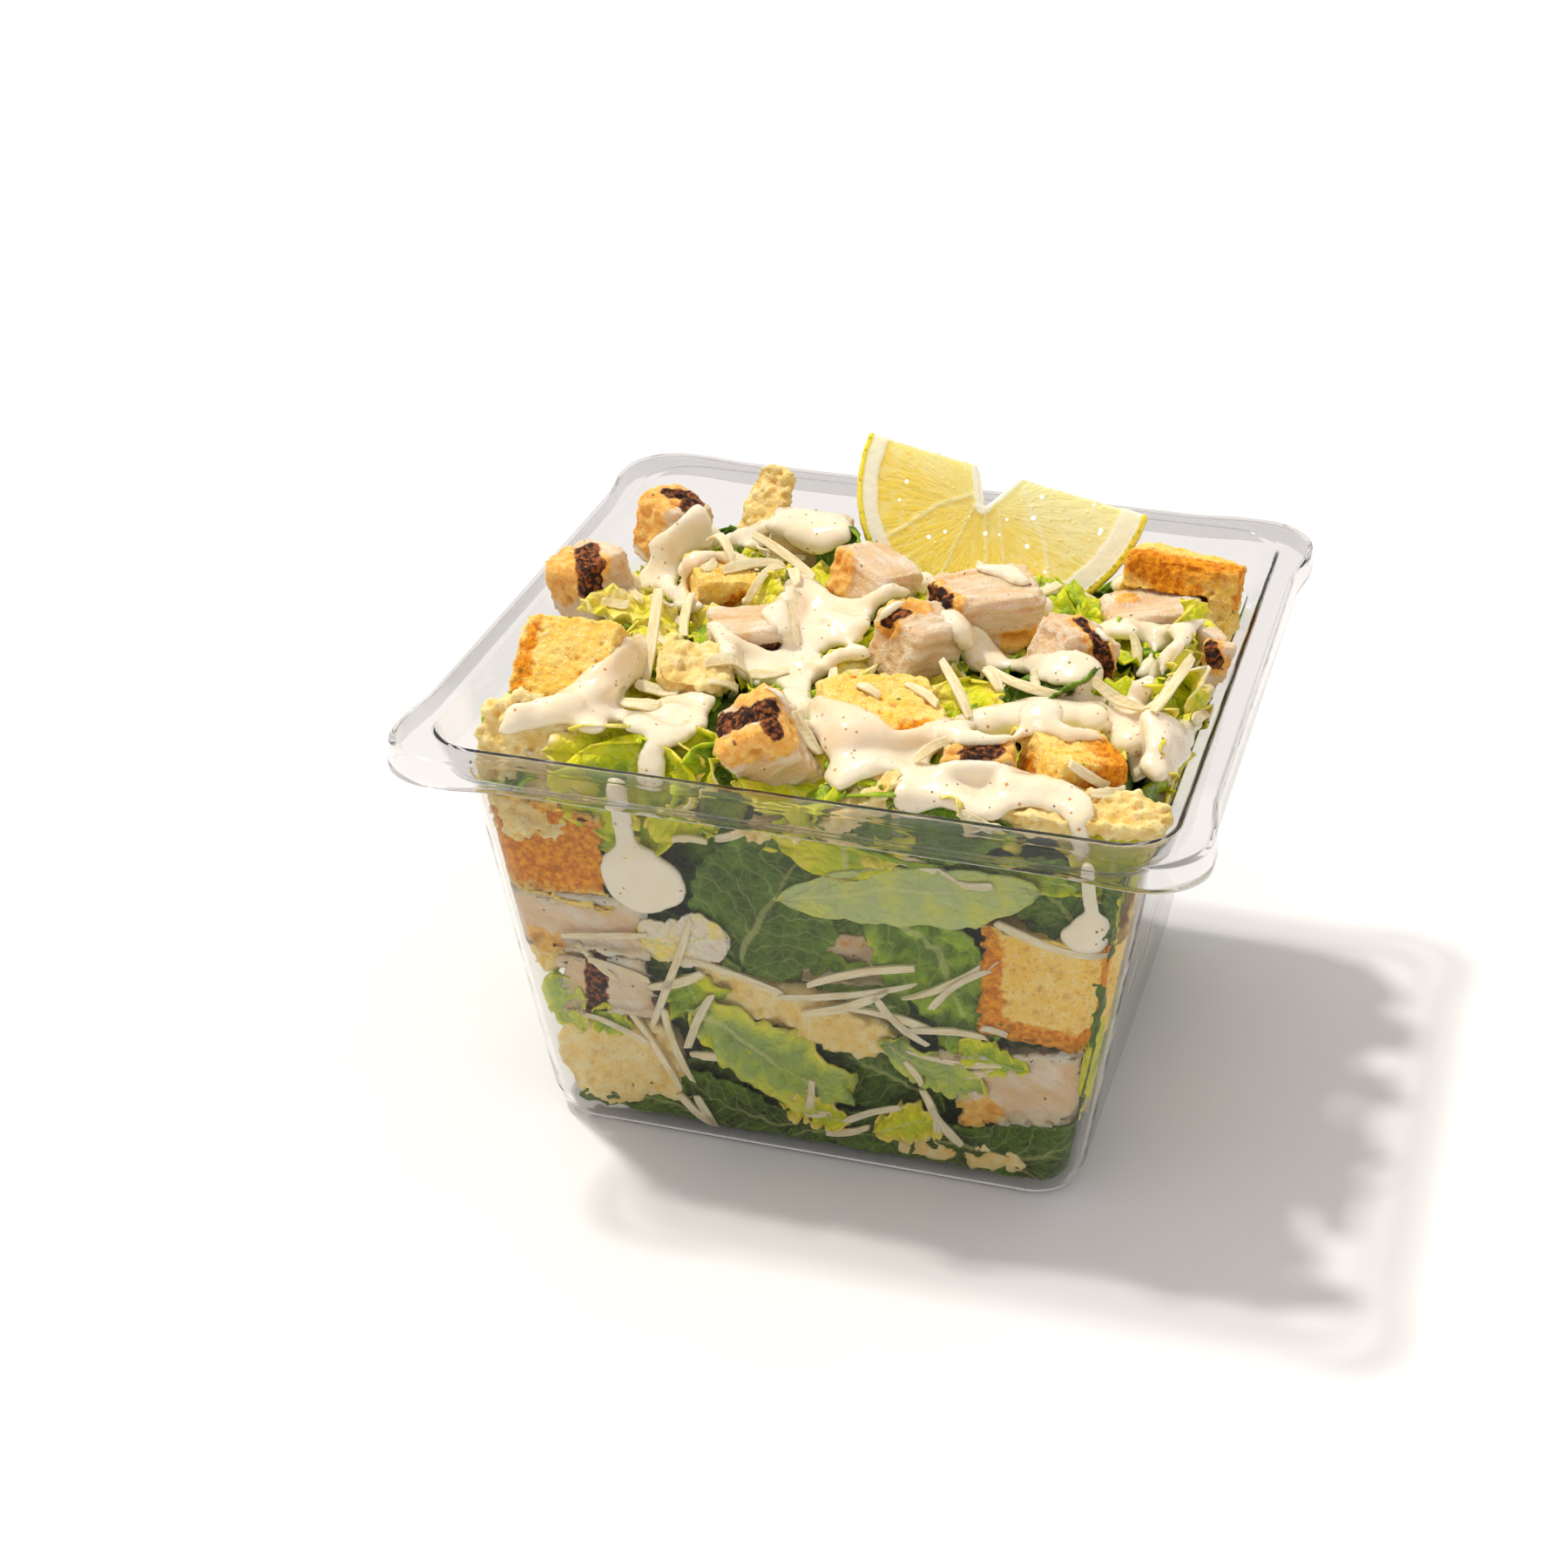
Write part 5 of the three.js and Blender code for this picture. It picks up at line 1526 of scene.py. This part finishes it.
# %% Where the dressing lies
# Outlines of the pools, in pixels of the picture.
POOLS = [
    [(799, 572), (812, 588), (820, 612), (842, 609), (864, 603), (881, 592), (900, 583), (912, 582), (935, 585),
     (958, 588), (975, 597), (979, 620), (966, 628), (952, 636), (923, 634), (911, 626), (896, 613), (884, 614),
     (873, 628), (866, 642), (846, 651), (820, 640), (816, 644), (800, 650), (788, 658), (788, 674), (811, 700),
     (790, 702), (768, 697), (750, 690), (740, 681), (729, 662), (744, 646), (755, 635), (742, 627), (746, 620),
     (764, 609), (785, 594)],
    [(720, 724), (749, 737), (747, 757), (740, 776), (723, 785), (716, 800), (710, 822), (699, 835), (681, 844),
     (668, 839), (651, 828), (632, 831), (603, 838), (580, 846), (566, 846), (578, 832), (584, 809), (603, 806),
     (632, 802), (658, 785), (681, 765), (699, 755), (716, 736)],
    [(712, 808), (725, 822), (746, 809), (768, 800), (790, 794), (811, 796), (827, 800), (812, 818), (816, 836),
     (796, 838), (791, 852), (768, 857), (755, 853), (734, 842), (722, 838), (712, 830)],
    [(822, 711), (831, 720), (848, 733), (874, 742), (892, 755), (903, 757), (903, 783), (874, 788), (848, 775),
     (831, 757), (820, 735), (812, 722)],
    [(897, 659), (912, 656), (927, 663), (939, 669), (954, 682), (971, 690), (985, 686), (1004, 679),
     (1015, 667), (1031, 673), (1050, 679), (1040, 688), (1038, 698), (1019, 708), (988, 729),
     (996, 744), (1004, 756), (973, 758), (954, 764), (952, 773), (944, 786), (920, 794),
     (902, 792), (885, 788), (868, 778), (850, 764), (884, 755),
     (903, 742), (893, 728), (882, 712), (870, 703), (891, 690), (901, 675)],
    [(1078, 701), (1094, 699), (1106, 714), (1134, 724), (1142, 742), (1155, 755), (1168, 760), (1183, 752),
     (1186, 765), (1183, 778), (1155, 768), (1124, 773), (1114, 768), (1099, 742), (1091, 722)],
    [(1111, 655), (1129, 648), (1150, 643), (1170, 653), (1183, 666), (1193, 674), (1168, 673), (1150, 664),
     (1129, 656)],
    [(1183, 752), (1216, 749), (1244, 749), (1262, 762), (1267, 778), (1252, 789), (1244, 794), (1228, 786),
     (1193, 783), (1183, 764)],
    [(1254, 722), (1270, 714), (1295, 711), (1346, 719), (1366, 713), (1384, 706), (1390, 712), (1370, 725),
     (1369, 737), (1359, 747), (1341, 763), (1328, 783), (1323, 794), (1318, 814), (1300, 803), (1298, 783),
     (1310, 762), (1328, 747), (1318, 738), (1295, 730), (1270, 740)],
    [(1262, 800), (1295, 803), (1318, 816), (1339, 819), (1351, 829), (1369, 826), (1384, 819), (1382, 834),
     (1372, 857), (1369, 870), (1356, 875), (1351, 885), (1356, 898), (1346, 903), (1328, 888), (1318, 852),
     (1300, 825)],
    [(1036, 838), (1091, 825), (1106, 829), (1129, 816), (1155, 808), (1193, 803), (1224, 799), (1257, 803),
     (1282, 811), (1305, 829), (1318, 852), (1326, 877), (1341, 895), (1350, 908), (1322, 903), (1300, 898),
     (1298, 885), (1285, 865), (1265, 847), (1244, 849), (1224, 852), (1205, 838), (1175, 846), (1160, 852),
     (1091, 850), (1070, 862), (1064, 880), (1050, 892), (1036, 892)],
    [(1036, 885), (1055, 886), (1076, 880), (1091, 872), (1106, 875), (1157, 876), (1175, 887), (1219, 895),
     (1244, 908), (1257, 921), (1257, 936), (1247, 944), (1252, 958), (1248, 985), (1236, 988), (1229, 959),
     (1229, 946), (1219, 936), (1203, 929), (1183, 923), (1155, 931), (1142, 945), (1134, 945), (1098, 933),
     (1085, 924), (1052, 935), (1030, 933), (1020, 915), (1030, 900)],
    [(880, 789), (919, 794), (947, 800), (975, 809), (997, 816), (1011, 827), (1025, 839),
     (1040, 852), (1045, 880), (1036, 887), (1020, 884), (997, 892), (984, 896), (961, 908),
     (942, 890), (958, 880), (947, 864), (938, 841), (919, 815), (901, 811), (892, 798)],
    [(735, 858), (757, 856), (766, 880), (760, 905), (738, 905), (730, 885)],
]
# Ropes on them: radius in pixels, and the spots of the picture.
ROPES = [
    (13, [(1045, 870), (1070, 848), (1110, 836)]), (14, [(1312, 872), (1335, 894)]),
    (20, [(1105, 836), (1155, 829), (1200, 822), (1250, 826), (1288, 845), (1310, 870)]),
    (15, [(1050, 905), (1100, 898), (1150, 900), (1200, 912), (1240, 930)]), (9, [(1241, 940), (1242, 982)]),
    (11, [(836, 622), (870, 610), (905, 598), (945, 604)]), (10, [(1278, 726), (1330, 727), (1362, 722)]),
    (10, [(1362, 730), (1340, 755), (1318, 785)]), (14, [(735, 745), (700, 785), (660, 808), (610, 828)]),
    (14, [(905, 800), (940, 830), (965, 862), (1000, 880)]), (13, [(925, 680), (950, 712), (985, 722)]),
    (12, [(900, 768), (945, 765)]), (9, [(1125, 654), (1165, 657)]),
    (9, [(1092, 712), (1115, 745), (1140, 755)]),
    (13, [(745, 830), (775, 818), (800, 810)]), (12, [(795, 605), (785, 632), (762, 655)]),
    (12, [(1300, 815), (1345, 840), (1352, 870)]),
]
# Radius in millimetres, and places along and up the front wall.
WALL_STROKES = [
    (1.9, [(-31.0, 78), (-30.6, 72), (-30.2, 65)]), (7.0, [(-28.8, 59.2), (-28.4, 57.6)]),
    (4.6, [(-24.4, 59.0), (-24.2, 57.6)]), (1.4, [(51.0, 76), (51.0, 71), (51.6, 67)]),
    (3.8, [(51.8, 62.6), (52.0, 60.8)]), (2.6, [(48.8, 60.4), (49.6, 59.6)]),
]
# Radius in millimetres, and places in X and Y that it is poured on from above.
POURS = [
    (3.4, [(-52, 22), (-38, 34), (-22, 40), (-6, 36)]), (3.2, [(-56, -2), (-50, 8), (-40, 14)]),
    (3.4, [(6, 26), (20, 28), (34, 34), (50, 40)]), (3.0, [(-30, 50), (-16, 46)]),
    (3.0, [(24, 12), (34, 16), (46, 12)]),
    (2.8, [(-14, 14), (-8, 22), (4, 24)]), (3.0, [(56, -30), (57, -16)]), (3.0, [(36, 50), (52, 54)]),
]
print(len(POOLS), "pools and", len(ROPES), "ropes")

# %% Strokes of flat balls
BRIDGE = 9             # how many steps a rope looks ahead and behind
SAG = 0.5              # how far below the mean of those steps it may dip
POURED_BELOW = 88.0    # no hidden pool stands higher than this


def along_line(line, step):
    """Even spots along a line through several places."""
    spots = []
    for a, b in zip(line, line[1:]):
        a, b = Vector(a), Vector(b)
        count = max(1, math.ceil((b - a).length / step))
        spots += [a.lerp(b, i / count) for i in range(count)]
    return spots + [Vector(line[-1])]


def fall(tree, starts, directions):
    """Distances and normals where rays meet the food, bridged over gaps."""
    hits = [tree.ray_cast(start, direction) for start, direction in zip(starts, directions)]
    known = [i for i, hit in enumerate(hits) if hit[0] is not None]
    if not known:
        return None, None
    depth = np.interp(range(len(hits)), known, [hits[i][3] for i in known])
    normals = [-ray if hit[0] is None else hit[1] for hit, ray in zip(hits, directions)]
    normals = [n if n.dot(ray) < 0 else -n for n, ray in zip(normals, directions)]
    padded = np.pad(depth, BRIDGE, mode="edge")
    mean = np.convolve(padded, np.ones(2 * BRIDGE + 1) / (2 * BRIDGE + 1), mode="valid")
    depth = np.minimum(depth, mean + SAG)
    soft = []
    for i in range(len(normals)):
        near = normals[max(0, i - 3):i + 4]
        soft.append((sum(near, Vector()) / len(near) + Vector((0, 0, 0.5))).normalized())
    return depth, soft


def add_ball(bm, place, radius, thick, subdivisions=2):
    """A ball of a radius, flat along the place's Z."""
    flat = Matrix.Diagonal((radius, radius, thick, 1))
    bmesh.ops.create_icosphere(bm, subdivisions=subdivisions, radius=1, matrix=place @ flat)


def add_stroke(bm, tree, starts, directions, radius, hidden_only=False):
    """Balls laid on the food where rays meet it, smaller at both ends of the stroke."""
    depth, normals = fall(tree, starts, directions)
    if depth is None:
        return
    thick = min(2.2, 0.62 * radius)
    count = len(starts)
    for i, (start, direction) in enumerate(zip(starts, directions)):
        size = radius * (0.7 + 0.3 * float(smooth_step(-1, 6, min(i, count - 1 - i))))
        spot = start + direction * float(depth[i]) + normals[i] * thick * 0.3
        in_view = tree.ray_cast(spot + normals[i] * 2.5, (eye - spot).normalized())[0] is None
        if hidden_only and (in_view or spot.z > POURED_BELOW):
            continue
        facing = normals[i].to_track_quat("Z", "Y").to_matrix().to_4x4()
        add_ball(bm, Matrix.Translation(spot) @ facing, size, thick)


print("strokes look", BRIDGE, "steps ahead")

# %% The sheet of the pools
POOL_STEP = 4.0        # pixels between the points of the sheet
POOL_COLUMNS = np.arange(548, 1420, POOL_STEP)
POOL_ROWS = np.arange(550, 1010, POOL_STEP)
POOL_THICK = 2.3
POOL_RAISED = 0.7      # how far the sheet's middle stands off the food
POOL_TEAR = 10.0       # where the food steps down further than this, the sheet is torn
POOL_EDGE = 0.3        # the share of an outline below which the sheet is cut
POOL_THINNEST = 0.55   # the share of the thickness that is left at its edges
NOTHING_MET = 2000.0   # a depth for rays that meet nothing


def inside(spots, outline):
    """Which spots lie in an outline, by counting the sides that a line to the right crosses."""
    x, y = spots.T
    within = np.zeros(len(spots), bool)
    for (x1, y1), (x2, y2) in zip(outline, outline[1:] + outline[:1]):
        if y1 != y2:
            within ^= ((y1 > y) != (y2 > y)) & (x < x1 + (y - y1) * (x2 - x1) / (y2 - y1))
    return within


def spread(values, pick, rounds):
    """Each spot takes the least, or the most, of itself and its neighbours."""
    for _ in range(rounds):
        for axis in (0, 1):
            values = pick(pick(np.roll(values, 1, axis), np.roll(values, -1, axis)), values)
    return values


def evened(values, rounds, reach=1e9):
    """Each spot drawn to its neighbours, but not across a step much deeper than reach."""
    for _ in range(rounds):
        total, weight = values.copy(), np.ones_like(values)
        for shift, axis in ((1, 0), (-1, 0), (1, 1), (-1, 1)):
            other = np.roll(values, shift, axis)
            pull = np.exp(-((other - values) / reach) ** 2)
            total += pull * other
            weight += pull
        values = total / weight
    return values


def add_pools(bm, tree, lemon_tree):
    """A sheet over the food as the camera sees it, cut to the outlines and given a thickness."""
    shape = (len(POOL_ROWS), len(POOL_COLUMNS))
    spots = np.array([(x, y) for y in POOL_ROWS for x in POOL_COLUMNS])
    covered = np.any([inside(spots, outline) for outline in POOLS], axis=0).astype(float)
    share = evened(covered.reshape(shape), 3).ravel()
    rays = [sight(*spot) for spot in spots]
    hits = np.array([tree.ray_cast(eye, ray)[3] or NOTHING_MET for ray in rays])
    lemon_hits = np.array([lemon_tree.ray_cast(eye, ray)[3] or NOTHING_MET for ray in rays])
    closed = spread(spread(hits.reshape(shape), np.minimum, 2), np.maximum, 2)
    depth = evened(closed, 8, 5.0).ravel()
    spare = (share < POOL_EDGE) | (depth > NOTHING_MET / 2) | (lemon_hits < hits)

    sheet = bmesh.new()
    layer = sheet.verts.layers.deform.verify()
    verts = bmesh.ops.create_grid(sheet, x_segments=shape[1] - 1, y_segments=shape[0] - 1, size=1)["verts"]
    for vert, ray, far, part in zip(verts, rays, depth, share):
        vert.co = eye + ray * float(far - POOL_RAISED)
        vert[layer][0] = float(np.clip(part, POOL_THINNEST, 1.0))
    spare_verts = [vert for vert, is_spare in zip(verts, spare) if is_spare]
    bmesh.ops.delete(sheet, geom=spare_verts, context="VERTS")
    torn = [face for face in sheet.faces if max(edge.calc_length() for edge in face.edges) > POOL_TEAR]
    bmesh.ops.delete(sheet, geom=torn, context="FACES")
    made = as_object("pools", sheet, in_mm=False)
    made.vertex_groups.new(name="thick")
    thick = made.modifiers.new("thick", "SOLIDIFY")
    thick.thickness = POOL_THICK
    thick.offset = 0.0
    thick.vertex_group = "thick"
    bake_modifiers(made)
    bm.from_mesh(made.data)
    bpy.data.meshes.remove(made.data)


print("a sheet of", len(POOL_COLUMNS), "by", len(POOL_ROWS), "points")

# %% Dressing shape
PIXELS_PER_MM = 6.0
ROPE_STEP = 4.0        # pixels between the balls of a rope
BALL_STEP = 0.8        # millimetres between the balls of the others
ABOVE_ALL = 120.0      # the height that it is poured from
DRESSING_VOXEL = 0.62

food_tree = tree_of(*toppings.values(), core, top_leaves, lemon)
dressing_bm = bmesh.new()
add_pools(dressing_bm, tree_of(*toppings.values(), core, top_leaves), tree_of(lemon))
for radius, line in ROPES:
    rays = [sight(*pixel) for pixel in along_line(line, ROPE_STEP)]
    add_stroke(dressing_bm, food_tree, [eye] * len(rays), rays, radius / PIXELS_PER_MM)
for radius, line in POURS:
    starts = [Vector((*spot, ABOVE_ALL)) for spot in along_line(line, BALL_STEP)]
    down = [Vector((0, 0, -1))] * len(starts)
    add_stroke(dressing_bm, food_tree, starts, down, radius, hidden_only=True)
for radius, line in WALL_STROKES:
    for along, up in along_line(line, BALL_STEP):
        place = on_wall(FRONT, along, up, min(1.3, radius * 0.6))
        add_ball(dressing_bm, place, radius, min(1.5, radius), subdivisions=3)
dressing = remesh(as_object("dressing", dressing_bm), DRESSING_VOXEL)
smoother = dressing.modifiers.new("silky", "SMOOTH")
smoother.factor = 0.6
smoother.iterations = 16
bake_modifiers(dressing)
push(dressing, 0.35 * wobble(points_of(dressing), 9.0, 4) + 0.25)
press_into_tub(dressing, 0.2, 0.35)

# %% Dressing finish
CREAM, PALE_CREAM, CREAM_OVER_BREAD = (0.88, 0.75, 0.52), (0.91, 0.80, 0.61), (0.88, 0.56, 0.29)
BLACK_PEPPER, BROWN_PEPPER, SPICE = (0.10, 0.05, 0.03), (0.42, 0.19, 0.06), (0.60, 0.24, 0.06)

dressing_stuff, tree, shader = new_material(
    "dressing", Roughness=0.18, Subsurface_Weight=0.5, Subsurface_Scale=0.003,
    Subsurface_Radius=(1.0, 0.7, 0.38), Coat_Weight=0.5, Coat_Roughness=0.06)
where = millimetres(tree)
clouds = use(tree, blotch, Where=where, Size=9.0, Low=0.3, High=0.7)["Share"]
pepper = use(tree, specks, Where=where, Spacing=2.1, Radius=0.12, Kept=0.55)
spice = use(tree, specks, Where=where, Spacing=2.7, Radius=0.12, Kept=0.5)
pepper_colour = blend(tree, calc(tree, "GREATER_THAN", pepper["Pick"], 0.5), BLACK_PEPPER, BROWN_PEPPER)
cream = blend(tree, clouds, CREAM, PALE_CREAM)
cream = lay_over(tree, cream, CREAM_OVER_BREAD, from_mesh(tree, "over_bread"), 0.45)
cream = lay_over(tree, cream, pepper_colour, pepper["Mask"], 0.75)
cream = lay_over(tree, cream, SPICE, spice["Mask"], 0.85)
height = times_plus(tree, pepper["Mask"], 0.25, noise_of(tree, where, 0.5, 2.0))
wire(tree, shader, Base_Color=cream, Normal=bump(tree, height, 0.3, 0.0008))

# The mesh tells where it lies on bread, which shows through a thin layer.
bread_tree = tree_of(*[piece for node, piece in toppings.items() if node.startswith("crouton")])
gaps = np.array([bread_tree.find_nearest(Vector(spot))[3] for spot in points_of(dressing)])
write_values(dressing, "over_bread", 1 - smooth_step(0.6, 2.4, gaps))
finish(dressing, dressing_stuff, "dressing")

# %% [markdown]
# ## Shreds of hard cheese
#
# A shred is a thin flat bar, a little bent and twisted. One is made from a cube and cut along its
# length, then laid down again and again: those of the picture by rays through their two ends, the
# ones behind the walls by places on the wall, and some more where the camera can't see.

# %% Where the shreds lie
SHREDS_ON_TOP = [  # picture pixels of both ends
    (756, 676, 742, 782), (795, 681, 786, 731), (813, 619, 843, 651), (864, 614, 935, 664),
    (806, 653, 822, 644), (829, 655, 900, 648), (857, 692, 898, 651), (730, 784, 779, 795),
    (712, 805, 758, 809), (809, 761, 861, 784), (813, 782, 838, 798), (912, 816, 942, 866),
    (1039, 785, 1076, 809), (1081, 757, 1113, 824), (1133, 766, 1220, 799),
    (1128, 776, 1148, 792), (1050, 874, 1089, 848), (1254, 780, 1315, 815), (1324, 817, 1369, 754),
    (1300, 728, 1304, 778), (1228, 877, 1272, 901), (1267, 903, 1350, 910), (1099, 932, 1140, 953),
    (870, 628, 925, 640), (845, 640, 868, 652), (722, 676, 735, 690), (905, 655, 915, 672),
    (1188, 768, 1192, 790), (985, 785, 1010, 800), (1370, 830, 1386, 818), (1252, 912, 1285, 905),
    (690, 690, 722, 694),
    (1120, 762, 1140, 780), (860, 775, 905, 770),
]
SHREDS_IN_FRONT = [  # millimetres along and up the front wall, of both ends
    (-43.9, 43.1, -27.5, 46.3), (-19.2, 51.1, -28.1, 25.1), (-41.3, 41.4, -34.2, 34.5),
    (-39.3, 38.5, -27.8, 35.8), (-27.9, 34.1, -17.7, 39.5), (-21.1, 42.1, -1.9, 36.7),
    (-3.7, 36.9, 21.2, 44.6), (1.7, 40.7, 21.2, 48.4), (19.4, 41.0, 35.5, 52.8),
    (24.1, 39.8, 34.3, 50.5), (0.6, 33.9, 16.5, 42.6), (7.7, 36.4, 24.1, 34.4),
    (13.9, 40.4, 23.6, 31.5), (18.9, 33.3, 33.9, 35.3), (19.7, 29.0, 36.5, 29.3),
    (-40.9, 25.3, -29.3, 20.8), (-25.5, 29.6, -21.1, 13.3), (-32.0, 27.1, -23.6, 10.5),
    (-16.2, 34.8, -21.5, 21.3), (-21.1, 19.7, -15.2, 20.2),
    (-24.1, 9.2, -17.1, 1.8), (-20.4, 10.0, -17.6, 2.8), (1.8, 18.4, 1.1, 11.3), (0.2, 9.9, 5.2, 11.0),
    (7.8, 9.8, 18.2, 15.7), (4.1, 6.3, 12.3, 9.3), (22.2, 20.5, 25.2, 9.7), (24.3, 16.5, 29.6, 9.0),
    (19.2, 26.7, 22.2, 21.7), (28.8, 25.4, 35.2, 27.9), (33.0, 37.3, 37.7, 36.7), (35.5, 61.1, 55.9, 56.4),
    (18.7, 71.2, 29.3, 68.1), (29.3, 68.3, 34.9, 68.9), (-21.5, 68.5, -15.1, 69.1), (-13.7, 69.9, -7.6, 73.0),
]
print(len(SHREDS_ON_TOP), "shreds on the top,", len(SHREDS_IN_FRONT), "in front")

# %% One shred
SHRED_THICK = 0.6

bm = bmesh.new()
bmesh.ops.create_cube(bm, size=1)
long_edges = [e for e in bm.edges if abs(e.verts[0].co.x - e.verts[1].co.x) > 0.5]
bmesh.ops.subdivide_edges(bm, edges=long_edges, cuts=7)
one_shred = bpy.data.meshes.new("one_shred")
bm.to_mesh(one_shred)
bm.free()


def start_shreds():
    bm = bmesh.new()
    bm.verts.layers.float_vector.new("grain")
    return bm


def add_shred(bm, start, end, out, seed, lift=0.0, width=1.9):
    """A shred from start to end, its flat side facing out."""
    run = end - start
    along = run.normalized()
    side = out.cross(along).normalized()
    up = along.cross(side)
    grains = bm.verts.layers.float_vector["grain"]
    first = len(bm.verts)
    bm.from_mesh(one_shred)
    bm.verts.ensure_lookup_table()
    bow = 1.1 * math.sin(seed * 2.3) * min(1.0, run.length / 14)
    twist = 1.1 * math.sin(seed * 1.7)
    for vert in bm.verts[first:]:
        t, y, z = vert.co
        arc = 1 - 4 * t * t
        girth = width * (0.9 + 0.3 * noise_at(t * 3, seed, y)) * (1 - 0.25 * abs(2 * t) ** 6)
        turn = twist * t
        across = girth * y * math.cos(turn) - SHRED_THICK * z * math.sin(turn)
        rise = girth * y * math.sin(turn) + SHRED_THICK * z * math.cos(turn)
        vert[grains] = Vector((t * run.length, y * width, z + seed * 3))
        vert.co = (start + run * (t + 0.5 + 0.06 * y * math.sin(seed)) + side * (across + bow * arc)
                   + up * (rise + lift * arc + 0.3 * noise_at(t * 4, seed, 2.0)))


print("one shred has", len(one_shred.vertices), "points")

# %% Shreds on top
HIDDEN_SHREDS = 60
HIDDEN_BELOW = 92.0    # no hidden shred lies higher than this
SHRED_DROP = 9.0       # the most that one end may lie further from the camera than the other
SHRED_RAISED = 0.9
UP = Vector((0, 0, 1))

shred_tree = tree_of(*toppings.values(), core, top_leaves, lemon, dressing)
bm = start_shreds()
for number, (x1, y1, x2, y2) in enumerate(SHREDS_ON_TOP):
    rays = [sight(x1, y1), sight((x1 + x2) / 2, (y1 + y2) / 2), sight(x2, y2)]
    hits = [shred_tree.ray_cast(eye, ray) for ray in rays]
    if any(hit[0] is None for hit in hits):
        continue
    farthest = min(hits[0][3], hits[2][3]) + SHRED_DROP
    start, end = [eye + rays[i] * (min(hits[i][3], farthest) - SHRED_RAISED) for i in (0, 2)]
    bulge = max(0.0, ((start + end) / 2 - eye).length - hits[1][3] + 0.8)
    out = (sum((hit[1] for hit in hits), Vector()) - rays[1] * 1.5).normalized()
    add_shred(bm, start, end, out, number * 1.9, lift=min(bulge, 3.0), width=random.uniform(1.7, 2.4))
random.seed(31)
laid = 0
while laid < HIDDEN_SHREDS:
    x, y, turn, length = picked([(-55, 55), (-30, 57), (0, math.pi), (8, 17)])
    place = shred_tree.ray_cast(Vector((x, y, ABOVE_ALL)), -UP)[0]
    if place is None or place.z > HIDDEN_BELOW:
        continue
    laid += 1
    if shred_tree.ray_cast(place + UP * 1.5, (eye - place).normalized())[0] is None:
        continue
    half = Vector((math.cos(turn), math.sin(turn), random.uniform(-0.25, 0.25))) * length / 2
    middle = place + UP
    add_shred(bm, middle - half, middle + half, UP, laid * 2.7, width=random.uniform(1.6, 2.3))
shreds_on_top = as_object("shreds_on_top", bm)
print(laid, "more laid where the camera can't see, or left out where it can")

# %% Shreds against the walls
SHREDS_PER_SIDE = 26


def facing_out(side):
    return on_wall(side, 0, 40, 0).to_3x3() @ UP


bm = start_shreds()
for number, (along_1, up_1, along_2, up_2) in enumerate(SHREDS_IN_FRONT):
    gap = 0.55 + 0.35 * (number % 3)
    start, end = wall_line(FRONT, [(along_1, up_1), (along_2, up_2)], gap)
    add_shred(bm, start, end, facing_out(FRONT), number * 1.3, width=random.uniform(1.25, 1.9))
for side in (RIGHT, BACK, LEFT):
    for number in range(SHREDS_PER_SIDE):
        up = random.uniform(6, 62)
        along = random.uniform(-1, 1) * (inner_half(up) - 12)
        turn = random.gauss(0, 0.7)
        half = random.uniform(4, 9)
        if in_empty_corner(side, along, up, half):
            along += CLEAR_OF_IT
        run, rise = half * math.cos(turn), half * math.sin(turn)
        line = [(along - run, up - rise), (along + run, up + rise)]
        start, end = wall_line(side, line, 0.6 + 0.3 * (number % 3))
        add_shred(bm, start, end, facing_out(side), side * 40 + number * 1.3,
                  width=random.uniform(1.6, 2.3))
shreds_at_walls = as_object("shreds_at_the_walls", bm)
press_into_tub(shreds_at_walls, 0.15)
print(3 * SHREDS_PER_SIDE, "shreds behind the other walls")

# %% Shred finish
IVORY, PALE_IVORY, IVORY_PORE = (0.80, 0.64, 0.34), (0.90, 0.80, 0.54), (0.72, 0.54, 0.26)

shred_stuff, tree, shader = new_material(
    "hard cheese", Subsurface_Weight=0.4, Subsurface_Scale=0.0015, Subsurface_Radius=(1.0, 0.85, 0.5),
    Specular_IOR_Level=0.4)
grain = from_mesh(tree, "grain", "Vector")
streaks = noise_of(tree, stretched(tree, grain, (0.25, 1.6, 1.6)), 1.2, 4.0)
crumbs = use(tree, pores, Where=grain, Size=0.6)
ivory = blend(tree, step_between(tree, streaks, 0.35, 0.65), IVORY, PALE_IVORY)
ivory = lay_over(tree, ivory, IVORY_PORE, crumbs["Hollow"], 0.25)
height = calc(tree, "ADD", streaks, crumbs["Grain"])
wire(tree, shader, Base_Color=ivory, Roughness=times_plus(tree, crumbs["Grain"], 0.3, 0.35),
     Normal=bump(tree, height, 0.5, 0.0003))

for piece in (shreds_on_top, shreds_at_walls):
    worn = piece.modifiers.new("worn edges", "BEVEL")
    worn.width = 0.1 * MM
    worn.segments = 1
    bake_modifiers(piece)
    finish(piece, shred_stuff, "hard_cheese")
    shade_smooth(piece, False)
bpy.data.meshes.remove(one_shred)

# %% The boxes, and the end
visual_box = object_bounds()
sizes = {"cad": [list(corner) for corner in cad_box], "visual": [list(corner) for corner in visual_box]}
print(sizes)
